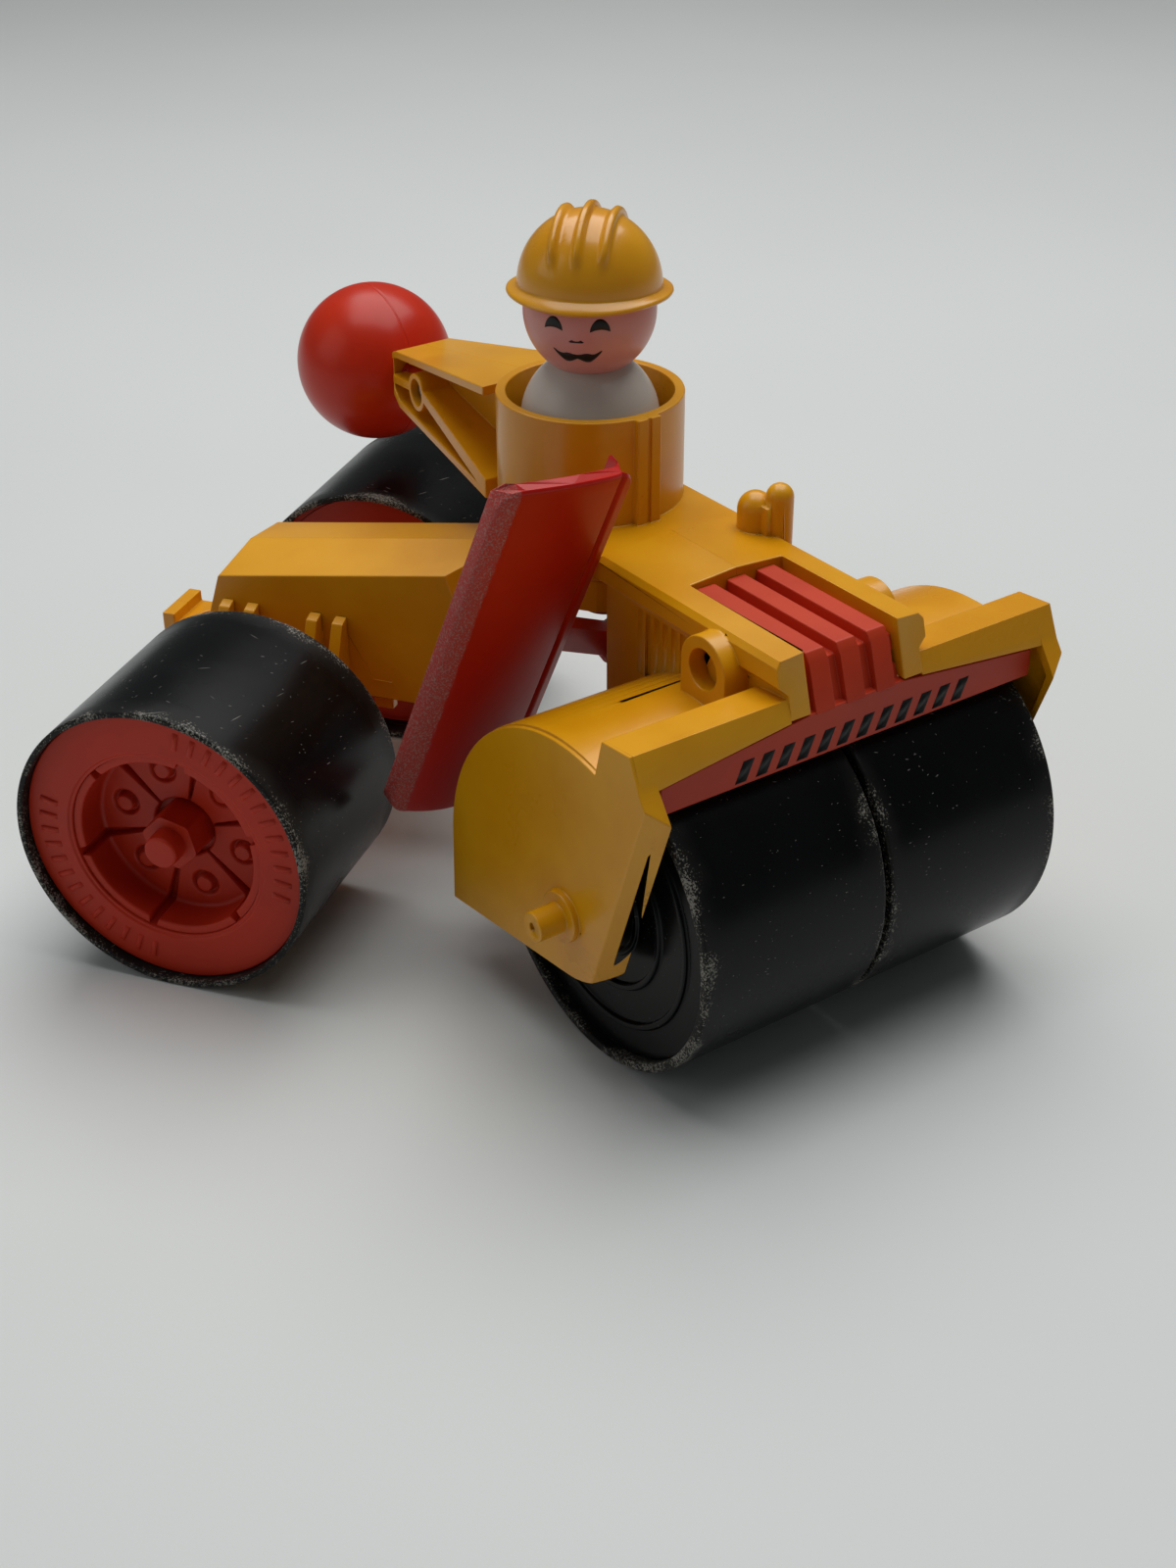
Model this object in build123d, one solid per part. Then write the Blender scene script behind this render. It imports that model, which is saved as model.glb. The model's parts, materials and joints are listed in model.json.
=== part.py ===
"""Toy road roller: articulated frame, split front drum, two rear rollers, scraper blade, peg driver.

Working frame in millimetres: +X is forward, +Y is the roller's left, +Z is up, and the floor is z = 0.
The front half is square to this frame. The rear half is modelled square to its own frame, whose origin
is on the floor below the kingpin, and is then swung by REST_STEER about the kingpin.
The last step moves every piece by the same amount, so that the origin is at the middle of the footprint.
"""
from build123d import *
from math import cos, hypot, radians, sin
import os

# ---------------------------------------------------------------- driving dimensions
WALL = 2.0  # general moulding wall
RUN = 0.08  # radial clearance of a shaft that turns in a bore
GAP = 0.4  # end clearance between pieces that move apart

DRUM_X, DRUM_R = 1.5, 34.2  # front drum axis (its height is its radius) and radius
DRUM_END = 43.1  # outer end face of each drum half
DRUM_SPLIT = 0.7  # half of the gap between the two drum halves
AXLE_R = 2.0

HOOD_HALF, HOOD_TOP, HOOD_CREST = 17.4, 85.0, 1.2
HOOD_FRONT, HOOD_BACK, HOOD_SKIRT = 20.4, -33.0, 80.4
HOOD_WALL_Y = 15.6  # outer face of the recessed side wall
SLOT_HALF, SLOT_BACK = 11.1, -12.4
COWL_R = DRUM_R + 0.9  # inside of the cowling over the drum
COWL_WALL = 1.8
CHEEK_OUT, CHEEK_IN, CHEEK_RIM = 50.0, 47.6, 45.8  # outer face, inner face and rim depth of a cheek
BOSS_R, BOSS_END = 3.0, 57.2

CAB_X, CAB_R, CAB_WALL = -60.3, 19.0, 2.1
CAB_RIM, CAB_FLOOR = 107.0, 84.0
BOOM_END, BOOM_END_HALF, BOOM_ROOT_HALF = -129.8, 6.9, 14.5
BALL = (-147.1, 0.0, 86.8)
BALL_R, STEM_R = 17.9, 3.2
RIVET_X, RIVET_Z = -114.0, 91.2
SCREWS = ((-27.5, 76.0), (-40.0, 76.2))  # X and Z of the screws that join the front halves

KING_X, KING_R = -55.0, 3.0
TONGUE_LOW, TONGUE_TOP = 62.5, 69.5
REST_STEER = 36.0  # the rear half stands turned by this much

REAR_AXLE_X, WHEEL_R = -67.3, 31.6  # in the rear frame
WHEEL_IN, WHEEL_OUT, DISH_R = 30.65, 76.0, 20.6  # inner and outer ends, and the hub's dished recess
DECK_BACK, DECK_FRONT, DECK_NOSE = -82.6, -30.8, -25.4
DECK_BACK_Z, DECK_FRONT_Z, DECK_CREST = 61.8, 69.1, 2.4
DECK_HALF, REAR_LOW = 14.5, 39.5
BUSH_R = 4.6  # outside of the kingpin bush
HITCH_X = -99.2  # front face of the hitch's upturned end
REAR_SCREWS = ((-37.0, 60.0), (-75.0, 55.0))  # X and Z of the screws that join the rear halves

BLADE_TILT = 21.0  # the blade's pivot axis dips forward by this much
BLADE_PIVOT = Vector(-43.8, 0, 52.0)
BLADE_CENTRE = (-36.5, 18.6)  # across and up the swing plane, from the pivot
BLADE_LEAN = -7.2  # turn of the blade's height direction from the cross direction
BLADE_LONG, BLADE_HIGH, BLADE_SAG, BLADE_THICK = 86.5, 30.5, 2.6, 3.0
BLADE_CORNER = 4.5  # radius of the board's corners
ARM_FRONT, ARM_BACK = 5.2, 9.0  # distances of the arm's two faces behind the swing plane

SEAT_R, SHOULDER_Z = 14.0, 101.0
HEAD_Z, HEAD_R = 123.5, 13.2
FACE_TURN = -47.0  # the driver looks this way, measured from straight ahead


# ---------------------------------------------------------------- small helpers
def block(x, y, z):
    """Box between two limits along each axis."""
    centre = [(lo + hi) / 2 for lo, hi in (x, y, z)]
    return Pos(*centre) * Box(*(hi - lo for lo, hi in (x, y, z)))


def rod_y(x, z, radius, low, high):
    """Cylinder along Y between two limits."""
    return Pos(x, (low + high) / 2, z) * Rot(90, 0, 0) * Cylinder(radius, high - low)


def rod_z(x, y, radius, low, high):
    """Cylinder along Z between two limits."""
    return Pos(x, y, (low + high) / 2) * Cylinder(radius, high - low)


def along_y(face, low, high):
    """Extrude a face drawn in X and Z between two Y limits."""
    plane = Plane(origin=(0, high, 0), x_dir=(1, 0, 0), z_dir=(0, -1, 0))
    return extrude(plane * face, amount=high - low)


def along_x(face, low, high):
    """Extrude a face drawn in Y and Z between two X limits."""
    plane = Plane(origin=(low, 0, 0), x_dir=(0, 1, 0), z_dir=(1, 0, 0))
    return extrude(plane * face, amount=high - low)


def along_z(face, low, high):
    """Extrude a face drawn in X and Y between two Z limits."""
    return extrude(Pos(0, 0, low) * face, amount=high - low)


def polygon(*points):
    """Face with straight sides."""
    return make_face(Polyline(*points, close=True))


def ring_y(x, z, outer, inner, low, high):
    """Tube along Y."""
    return rod_y(x, z, outer, low, high) - rod_y(x, z, inner, low - 1, high + 1)


def below(solid, point, normal):
    """Keep the part of a solid that lies behind a plane."""
    return split(solid, Plane(origin=point, z_dir=normal), keep=Keep.BOTTOM)


def flip(shape):
    """Mirror image on the other side of the centre plane."""
    return mirror(shape, about=Plane.XZ)


# ---------------------------------------------------------------- front half
def cheek_face(inset=0.0):
    """Outline of a cheek plate in X and Z: round at the back, a straight foot, a raked front edge."""
    arc_r = COWL_R + COWL_WALL
    rear = Line((-37.4, DRUM_R), (-38.0, 16.4))
    foot = Line(rear @ 1, (2.0, 21.0))
    toe = ThreePointArc(foot @ 1, (13.6, 25.8), (20.6, 37.0))
    brow = Polyline(toe @ 1, (28.4, 65.6), (24.4, 71.4), (21.6, 77.8), (13.4, 77.1), (11.4, 69.4))
    crown = ThreePointArc(brow @ 1, (DRUM_X - arc_r * sin(radians(44)), DRUM_R + arc_r * cos(radians(44))),
                          rear @ 0)
    face = make_face([rear, foot, toe, brow, crown])
    return offset(face, -inset) if inset else face


def cheek():
    """Right cheek: a plate with a shallow rim behind it and a raked, bevelled front edge."""
    plate = along_y(cheek_face(), -CHEEK_OUT, -CHEEK_RIM)
    plate -= along_y(cheek_face(WALL), -CHEEK_IN, -CHEEK_RIM)
    plate = below(plate, (23.6, -CHEEK_OUT, 62.0), (0.75, -0.62, -0.26))
    plate += rod_y(DRUM_X, DRUM_R, 5.2, -CHEEK_OUT - 1.4, -CHEEK_RIM)
    plate += rod_y(DRUM_X, DRUM_R, BOSS_R, -BOSS_END, -CHEEK_OUT)
    plate -= rod_y(DRUM_X, DRUM_R, 0.9, -BOSS_END - 1, -BOSS_END + 1.2)
    return plate - rod_y(DRUM_X, DRUM_R, AXLE_R, -54.4, -CHEEK_RIM + 1)


def cowling():
    """Curved cover over the right drum half, from under the brow round to the back of the drum."""
    shell = ring_y(DRUM_X, DRUM_R, COWL_R + COWL_WALL, COWL_R, -CHEEK_OUT + 0.8, 0)
    wedge = polygon((DRUM_X, DRUM_R), (31.5, 86.2), (-60, 110), (-80, 33.0))
    shell = shell & along_y(wedge, -CHEEK_OUT, 0)
    return shell - block((-20, 60), (-HOOD_WALL_Y + 1, 1), (0, 100))


def brow():
    """Right half of the visor bar that reaches from the hood out to the cheek."""
    outline = polygon((13.4, 69.0), (13.4, 77.1), (21.8, 77.9), (23.4, 74.2), (25.2, 68.0))
    hollow = polygon((15.2, 60.0), (15.2, 75.3), (20.5, 76.0), (21.6, 73.8), (24.2, 60.0))
    bar = along_y(outline, -CHEEK_OUT + 0.6, -HOOD_WALL_Y)
    bar -= along_y(hollow, -CHEEK_IN, -HOOD_WALL_Y - 1)
    return below(bar, (24, -11.1, 74.2), (0, 0.095, -1))


def hood():
    """Right half of the hood: crowned top, side skirt, fluted side wall and the rail beside the slot."""
    low = 50.0
    outer = polygon((0, HOOD_TOP + HOOD_CREST), (-HOOD_HALF + 1, HOOD_TOP + 0.1), (-HOOD_HALF, HOOD_TOP - 1),
                    (-HOOD_HALF, HOOD_SKIRT), (-HOOD_WALL_Y, HOOD_SKIRT - 1.6), (-HOOD_WALL_Y, low), (0, low))
    inner = polygon((1, HOOD_TOP - 1.0), (-HOOD_WALL_Y + WALL, HOOD_TOP - 2.0), (-HOOD_WALL_Y + WALL, low - 1),
                    (1, low - 1))
    body = along_x(outer, HOOD_BACK, HOOD_FRONT + 3.2)
    corner = Pos(HOOD_BACK + 4, -HOOD_WALL_Y + 4) * (Rectangle(8, 8) - Pos(2, 2) * Circle(6))
    body -= along_x(inner, HOOD_BACK + WALL, HOOD_FRONT - 2.2)
    corner = Pos(-2, -2) * corner & Pos(HOOD_BACK, -HOOD_WALL_Y) * Rectangle(8, 8)
    body -= along_z(corner, low - 1, HOOD_SKIRT - 1.6)
    nose = polygon((HOOD_FRONT, 90), (HOOD_FRONT, HOOD_TOP), (HOOD_FRONT + 3.0, 74.2), (40, 40), (40, 90))
    body -= along_y(nose, -30, 1)
    body -= block((HOOD_FRONT - 8, 40), (-40, 1), (0, 74.2))
    body -= block((SLOT_BACK, 40), (-SLOT_HALF, 1), (0, 100))
    body += block((SLOT_BACK - 2, HOOD_FRONT - 2.2), (-SLOT_HALF - 1.6, -SLOT_HALF), (76.0, HOOD_TOP - 1.5))
    body += block((SLOT_BACK - 1.6, SLOT_BACK), (-SLOT_HALF - 1.6, 0), (76.0, HOOD_TOP - 1.0))
    for step in range(7):
        body -= rod_z(-22.0 + 2.7 * step, -HOOD_WALL_Y - 0.2, 0.85, 64.0, HOOD_SKIRT - 2.4)
    return body - rod_y(DRUM_X, DRUM_R, COWL_R, -CHEEK_IN, 1)


def tie_ring():
    """Ring on the right of the hood, standing on the cowling."""
    x, z, outer = 4.3, 78.0, 6.5
    ring = rod_y(x, z, outer, -HOOD_HALF - 3.6, -HOOD_WALL_Y)
    ring += block((x - outer, x + outer), (-HOOD_HALF - 3.6, -HOOD_WALL_Y), (69.4, z))
    return ring - rod_y(x, z, 4.0, -HOOD_HALF - 4, -HOOD_HALF)


def cab():
    """Right half of the open round cab with its floor and the seam rib at the front."""
    cup = rod_z(CAB_X, 0, CAB_R, HOOD_SKIRT - 0.4, CAB_RIM) - rod_z(CAB_X, 0, CAB_R - CAB_WALL, CAB_FLOOR, 120)
    cup += block((CAB_X, HOOD_BACK), (-HOOD_HALF, HOOD_HALF), (HOOD_SKIRT - 0.4, HOOD_TOP)) - rod_z(
        CAB_X, 0, CAB_R - CAB_WALL, CAB_FLOOR, 120)
    rib = block((CAB_X + CAB_R - 1.2, CAB_X + CAB_R + 1.2), (-2.8, 2.8), (HOOD_TOP - 1, CAB_RIM))
    rib -= block((CAB_X + CAB_R + 0.7, CAB_X + CAB_R + 2), (-0.4, 0.4), (HOOD_TOP - 2, CAB_RIM + 1))
    return (cup + rib) & block((-200, 200), (-60, 0), (0, 200))


def boom_side(inset=0.0):
    """Side outline of the boom in X and Z."""
    root = CAB_X - CAB_R + 1.5 + inset
    end = BOOM_END + inset
    return polygon((root, HOOD_SKIRT + inset), (root, 105.0 - inset), (BOOM_END + 5, 97.2 - inset),
                   (end, 95.0 - inset / 2), (end, 88.2 + inset / 2), (BOOM_END + 6, 84.2 + inset))


def boom():
    """Right half of the boom: a flat-topped arm with a web, flanges and slanted ribs in its side."""
    root = CAB_X - CAB_R + 2.5
    plan = polygon((root, 0), (root, -BOOM_ROOT_HALF), (BOOM_END + 3, -BOOM_END_HALF),
                   (BOOM_END, -BOOM_END_HALF + 2), (BOOM_END, 0))
    arm = along_y(boom_side(), -30, 0) & along_z(plan, 60, 120)
    pocket = along_y(boom_side(1.7), -30, -2.2)
    ribs = along_y(polygon((-113, 93.4), (-113, 91.0), (root, 81.0), (root, 84.4)), -30, 0)
    ribs += along_y(polygon((-112, 93.2), (-112, 91.2), (BOOM_END, 88.6), (BOOM_END, 90.4)), -30, 0)
    ribs += rod_y(RIVET_X, RIVET_Z, 4.2, -30, 0)
    arm -= pocket - ribs
    arm -= rod_y(RIVET_X, RIVET_Z, 2.9, -30, -6.0)
    arm -= rod_y(RIVET_X, RIVET_Z, 1.5, -30, 1)
    socket = rod_between(Vector(*BALL), Vector(RIVET_X - 4.0, 0, RIVET_Z), STEM_R)
    return arm - socket - rod_z(CAB_X, 0, CAB_R - 0.6, 60, 120)


def rod_between(start, end, radius):
    """Cylinder from one point to another."""
    span = end - start
    rod = Cylinder(radius, span.length, align=(Align.CENTER, Align.CENTER, Align.MIN))
    return Plane(origin=start, z_dir=span) * rod


def swing_plane(offset=0.0):
    """Plane in which the blade swings: x across, y up the slope, z towards the drum."""
    tilt = radians(BLADE_TILT)
    normal = Vector(cos(tilt), 0, -sin(tilt))
    return Plane(origin=BLADE_PIVOT + normal * offset, x_dir=(0, 1, 0), z_dir=normal)


def underframe():
    """Right half of the parts below the hood: kingpin boss, keel web and blade pivot boss."""
    boss = rod_z(KING_X, 0, 8.0, TONGUE_TOP + 0.5, HOOD_SKIRT)
    peg = rod_z(CAB_X, 0, 5.5, HOOD_SKIRT, CAB_FLOOR + 8)
    keel = polygon((-33, 81), (-62, 81), (-52, 71.5), (-46, 70.5), (-37, 53), (-31.5, 46), (-31.5, 60))
    web = along_y(keel, -3, 0)
    pivot = swing_plane(-3.6) * extrude(Circle(5.0), amount=18.5)
    frame = (boss + web + pivot + peg) - rod_y(DRUM_X, DRUM_R, COWL_R, -60, 60)
    return frame & block((-90, 0), (-20, 0), (0, 100))


def front_half():
    """Right half of the front moulding."""
    body = cheek() + cowling() + brow() + hood() + tie_ring() + cab() + boom() + underframe()
    for x, z in SCREWS:
        body += rod_y(x, z, 3.2, -4.0, 0) + block((x - 1, x + 1), (-4.0, 0), (z, HOOD_TOP - 1))
        body -= rod_y(x, z, 1.3, -12, 1)
    body -= rod_z(KING_X, 0, KING_R, 40, 80.0)
    return body - extrude(swing_plane(-10) * Circle(AXLE_R), amount=24)


def exhaust():
    """Short domed stack on the left edge of the hood with a pipe that runs down beside it."""
    stack = rod_z(-26, 15.4, 3.6, 80.6, 89.4) + Pos(-26, 15.4, 89.4) * Sphere(3.6)
    pipe = rod_z(-21.8, 18.0, 2.8, 70.0, 92.6) + Pos(-21.8, 18.0, 92.6) * Sphere(2.8)
    bridge = block((-25, -21), (14.2, 18.2), (HOOD_SKIRT, 91))
    foot = Pos(-21.8, 18.0, 70.0) * Sphere(2.8)
    return stack + pipe + bridge + foot


def grille():
    """Slot insert with three long ribs that run down the nose into a wide band over the drum."""
    half = SLOT_HALF - 0.15
    top = block((SLOT_BACK + 0.15, 19.0), (-half, half), (80.0, 82.0))
    slope = polygon((16.4, 82.0), (19.0, 82.0), (22.2, 73.0), (22.2, 66.0), (20.0, 66.0))
    body = top + along_y(slope, -half, half)
    band_low, band_half = 64.6, 44.4
    band = along_x(polygon((-band_half, band_low), (band_half, band_low), (band_half, 70.2), (half, 74.0),
                           (-half, 74.0), (-band_half, 70.2)), 21.2, 23.2)
    body += band
    rib = polygon((SLOT_BACK + 0.15, 81), (SLOT_BACK + 0.15, 84.4), (19.2, 84.4), (20.6, 82.8), (23.4, 73.6),
                  (21, 72.0), (17.0, 81))
    for y in (-7.6, -0.4, 6.8):
        body += along_y(rib, y - 2.2, y + 2.2)
    return body - block((-50, 20.8), (half - 0.6, 60), (60, 79))


# ---------------------------------------------------------------- drums
def drum_pieces(side):
    """Roller sleeve, outer disc and inner disc of one drum half; side is -1 for right and 1 for left."""
    y_in, y_out = DRUM_SPLIT, DRUM_END
    sleeve = ring_y(DRUM_X, DRUM_R, DRUM_R, DRUM_R - WALL, -y_out, -y_in)
    outer = ring_y(DRUM_X, DRUM_R, DRUM_R - WALL, AXLE_R + RUN, -y_out + 2.2, -y_out + 4.4)
    outer += ring_y(DRUM_X, DRUM_R, 5.0, AXLE_R + RUN, -y_out - 0.6, -y_out + 18)
    for radius in (26.0, 18.0, 11.0):
        outer += ring_y(DRUM_X, DRUM_R, radius, radius - 1.0, -y_out + 1.4, -y_out + 2.4)
    inner = ring_y(DRUM_X, DRUM_R, DRUM_R - WALL, AXLE_R + RUN, -y_in - 3.8, -y_in - 1.6)
    inner += ring_y(DRUM_X, DRUM_R, 5.0, AXLE_R + RUN, -y_in - 16, -y_in)
    parts = [sleeve, outer, inner]
    return parts if side < 0 else [flip(part) for part in parts]


# ---------------------------------------------------------------- rear half, in its own frame
def deck_height(x):
    """Height of the sloping deck's outer edge."""
    return DECK_BACK_Z + (x - DECK_BACK) * (DECK_FRONT_Z - DECK_BACK_Z) / (DECK_FRONT - DECK_BACK)


def rear_hull(inset=0.0):
    """Right half of the rear box, with sloping deck, drafted walls and bevelled front corners."""
    slope = (DECK_FRONT_Z - DECK_BACK_Z) / (DECK_FRONT - DECK_BACK)
    crest = DECK_CREST / DECK_HALF
    drop = 5.0 if inset else 0.0
    hull = block((-95, DECK_NOSE + 6), (-24, 0), (REAR_LOW - drop, 80))
    hull = below(hull, (DECK_BACK, -DECK_HALF, DECK_BACK_Z - inset), (-slope, -crest, 1))
    hull = below(hull, (DECK_BACK, -DECK_HALF + inset, DECK_BACK_Z), (0, -1, 0.09))
    hull = below(hull, (DECK_BACK + inset, 0, DECK_BACK_Z), (-1, 0, 0.28))
    hull = below(hull, (DECK_FRONT - inset, -DECK_HALF + inset, DECK_FRONT_Z), (0.72, -0.62, 0.36))
    return below(hull, (DECK_NOSE - inset, 0, DECK_FRONT_Z), (1, 0, 0.22))


def rear_half():
    """Right half of the rear moulding: box, tongue, axle housing, gussets and hitch."""
    body = rear_hull() - rear_hull(WALL)
    body += block((-46.8, -42.4), (-16.2, -14.2), (REAR_LOW - 2.6, REAR_LOW + 4))
    housing = rod_y(REAR_AXLE_X, WHEEL_R, 6.5, -WHEEL_IN + GAP + 0.6, 0)
    pillar = block((REAR_AXLE_X - 4.0, REAR_AXLE_X + 4.0), (-16.0, 0), (WHEEL_R, REAR_LOW + 12))
    body += housing + pillar
    gusset = polygon((-15.2, 57.0), (-16.0, WHEEL_R - 1), (-26.6, WHEEL_R - 1), (-26.6, 36.0), (-17.6, 56.2))
    for x in (-12.9, -7.0, 7.6, 13.5):
        body += along_x(gusset, REAR_AXLE_X + x - 1.3, REAR_AXLE_X + x + 1.3)
    body += block((REAR_AXLE_X - 14.2, REAR_AXLE_X + 14.8), (-26.6, -14.4), (WHEEL_R - 1, WHEEL_R + 1.2))
    body += block((-36, 0.5), (-7, 0), (TONGUE_LOW, TONGUE_TOP))
    body += rod_z(0, 0, 7.0, TONGUE_LOW, TONGUE_TOP) & block((-20, 20), (-20, 0), (0, 100))
    body -= rod_z(0, 0, BUSH_R, 50, 80) + rod_y(REAR_AXLE_X, WHEEL_R, AXLE_R, -40, 1)
    body += block((HITCH_X - 3, -84), (-6.5, 0), (40.5, 43.5))
    body += block((HITCH_X - 3, HITCH_X), (-6.5, 0), (40.5, 46.0))
    body -= rod_z(-94.0, 0, 2.2, 35, 50)
    for x, z in REAR_SCREWS:
        body += rod_y(x, z, 3.2, -4.0, 0) + block((x - 1, x + 1), (-4.0, 0), (z, deck_height(x) + 1.0))
        body -= rod_y(x, z, 1.3, -12, 1)
    return body


def rear_wheel(side):
    """Hub, tyre sleeve, inner disc and bush of one rear roller; side is -1 for right and 1 for left."""
    x, z = REAR_AXLE_X, WHEEL_R
    sleeve = ring_y(x, z, WHEEL_R, WHEEL_R - 1.3, -WHEEL_OUT, -WHEEL_IN)
    rim = WHEEL_R - 1.3
    hub = ring_y(x, z, rim, rim - 1.6, -WHEEL_OUT + 2.0, -WHEEL_IN - 6)
    hub += ring_y(x, z, rim, DISH_R, -WHEEL_OUT + 2.4, -WHEEL_OUT + 4.6)
    bevel = Plane.XY * Cone(DISH_R + 1.8, DISH_R - 0.4, 12, align=(Align.CENTER, Align.CENTER, Align.MAX))
    outer_cup = place_on_axle(bevel, -WHEEL_OUT + 2.4)
    inner = Cone(DISH_R, DISH_R - 2.2, 12, align=(Align.CENTER, Align.CENTER, Align.MAX))
    hub += outer_cup - place_on_axle(inner, -WHEEL_OUT + 2.3)
    hub += rod_y(x, z, DISH_R - 1.2, -WHEEL_OUT + 12.4, -WHEEL_OUT + 14.4)
    hub += hub_boss(x, z)
    hub -= rod_y(x, z, AXLE_R + RUN, -WHEEL_OUT - 1, -WHEEL_IN)
    back = ring_y(x, z, rim - 1.6, 5.0, -WHEEL_IN - 7.6, -WHEEL_IN - 5.6)
    parts = [hub, sleeve, back]
    return parts if side < 0 else [flip(part) for part in parts]


def place_on_axle(shape, y):
    """Stand a shape, whose top faces +Z at its origin, on the right wheel with that top facing out."""
    return Location(Plane(origin=(REAR_AXLE_X, y, WHEEL_R), x_dir=(1, 0, 0), z_dir=(0, -1, 0))) * shape


def hub_boss(x, z):
    """Central boss with its stepped collar, and the ribs and studs on the dish floor."""
    floor = -WHEEL_OUT + 12.4
    boss = rod_y(x, z, 5.0, -WHEEL_OUT + 4.0, -WHEEL_IN - 0.2)
    collar = place_on_axle(extrude(RegularPolygon(6.6, 6), amount=5.0), floor)
    boss += collar
    for step in range(6):
        turn = 60 * step
        rib = place_on_axle(Rot(0, 0, turn) * Pos(12.0, 0, 0.9) * Box(13.0, 1.6, 2.0), floor)
        stud = place_on_axle(Rot(0, 0, turn + 30) * Pos(13.0, 0, 1.0) * Cylinder(2.1, 2.4), floor)
        boss += rib + stud
    return boss


# ---------------------------------------------------------------- blade
def blade():
    """Curved mouldboard with a thick wearing edge, a lip and a pad for the arm behind it."""
    tilt_plane = swing_plane()
    centre = tilt_plane.from_local_coords(Vector(*BLADE_CENTRE, 0))
    lean = radians(BLADE_LEAN)
    high = tilt_plane.from_local_coords(Vector(cos(lean), sin(lean), 0)) - tilt_plane.origin
    half = BLADE_HIGH / 2
    face = Plane(origin=centre, x_dir=high, z_dir=tilt_plane.z_dir)
    long_dir = face.y_dir
    section_plane = Plane(origin=centre - long_dir * BLADE_LONG / 2, x_dir=high, z_dir=long_dir)
    back = ThreePointArc((-half, 0), (0, BLADE_SAG), (half, 0))
    front = ThreePointArc((half, -BLADE_THICK), (0, BLADE_SAG - BLADE_THICK), (-half, -BLADE_THICK))
    section = make_face([back, Line(back @ 1, front @ 0), front, Line(front @ 1, back @ 0)])
    section += polygon((-half, 1.0), (-half + 3.4, 1.8), (-half + 3.4, -2.4), (-half, -3.4))
    section += polygon((half - 3.0, -1.0), (half, -1.0), (half, -6.4), (half - 1.5, -6.4))
    body = extrude(section_plane * section, amount=BLADE_LONG)
    rounded = Plane(origin=face.origin - face.z_dir * 12, x_dir=high, z_dir=face.z_dir)
    body = body & extrude(rounded * RectangleRounded(BLADE_HIGH, BLADE_LONG, BLADE_CORNER), amount=24)
    pad = Plane(origin=face.origin - face.z_dir * ARM_FRONT, x_dir=high, z_dir=face.z_dir)
    body += extrude(pad * RectangleRounded(13, 20, 3), amount=ARM_FRONT - 1.0)
    for place in (-6.0, 6.0):
        body -= extrude(pad * Pos(0, place) * Circle(1.1), amount=2.6)
    return body, face


def blade_arm(face):
    """Flat arm from the pivot to the pad behind the blade, with a round eye at the pivot."""
    plane = swing_plane(-ARM_BACK)
    across, up = BLADE_CENTRE
    reach = hypot(across, up)
    turn = degrees_of(across, up)
    outline = Circle(5.2) + Rot(0, 0, turn) * Pos(reach / 2, 0) * Rectangle(reach, 6.4)
    outline += Pos(across, up) * Rot(0, 0, BLADE_LEAN) * RectangleRounded(13, 20, 3)
    arm = extrude(plane * outline, amount=ARM_BACK - ARM_FRONT)
    arm -= extrude(plane * Circle(AXLE_R + RUN), amount=5)
    pad = Plane(origin=face.origin - face.z_dir * ARM_BACK, x_dir=face.x_dir, z_dir=face.z_dir)
    screws = []
    for place in (-6.0, 6.0):
        arm -= extrude(pad * Pos(0, place) * Circle(1.1), amount=5)
        screws.append(extrude(pad * Pos(0, place) * Circle(1.1), amount=6.2))
        screws.append(pad * Pos(0, place, -0.5) * Cylinder(2.2, 1.0))
    return arm, screws


def degrees_of(x, y):
    """Direction of a plane vector in degrees."""
    return Vector(1, 0, 0).get_signed_angle(Vector(x, y, 0), Vector(0, 0, 1))


# ---------------------------------------------------------------- driver
def driver():
    """Body, head and hat of the peg driver, turned to face the same way."""
    sit = CAB_FLOOR + GAP
    body = rod_z(CAB_X, 0, SEAT_R, sit, SHOULDER_Z) + Pos(CAB_X, 0, SHOULDER_Z) * Sphere(SEAT_R)
    body = fillet(body.edges().filter_by(GeomType.CIRCLE).sort_by(Axis.Z)[0], 1.2)
    head = Pos(CAB_X, 0, HEAD_Z) * Sphere(HEAD_R)
    body -= head
    body -= rod_z(CAB_X, 0, SEAT_R - WALL, 60, SHOULDER_Z - 4)
    crown_r, crown_h, brim_z = 14.3, 16.8, 126.4
    hat = Pos(CAB_X, 0, brim_z) * scale(Sphere(crown_r), by=(1, 1, crown_h / crown_r))
    hat -= Pos(CAB_X, 0, brim_z) * Box(60, 60, 60, align=(Align.CENTER, Align.CENTER, Align.MAX))
    hat += rod_z(CAB_X, 0, 16.5, brim_z - 0.9, brim_z + 0.8)
    ridge_r = crown_r + 1.2
    ridge = Pos(CAB_X, 0, brim_z) * scale(Sphere(ridge_r), by=(1, 1, (crown_h + 1.2) / ridge_r))
    for y in (-5.0, 0.0, 5.0):
        fin = ridge & block((CAB_X - 12.5, CAB_X + 12.5), (y - 0.9, y + 0.9), (brim_z + 6, 160))
        hat += fin
    hat -= head
    turn = Pos(CAB_X, 0, 0) * Rot(0, 0, FACE_TURN) * Pos(-CAB_X, 0, 0)
    return [turn * piece for piece in (body, head, hat)]


# ---------------------------------------------------------------- fasteners and shafts
def screw_y(x, z, head_y, length):
    """Pan-head screw along Y whose head stands at head_y on the left side."""
    return [rod_y(x, z, 1.3, head_y - length, head_y), rod_y(x, z, 2.6, head_y, head_y + 1.2)]


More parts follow.
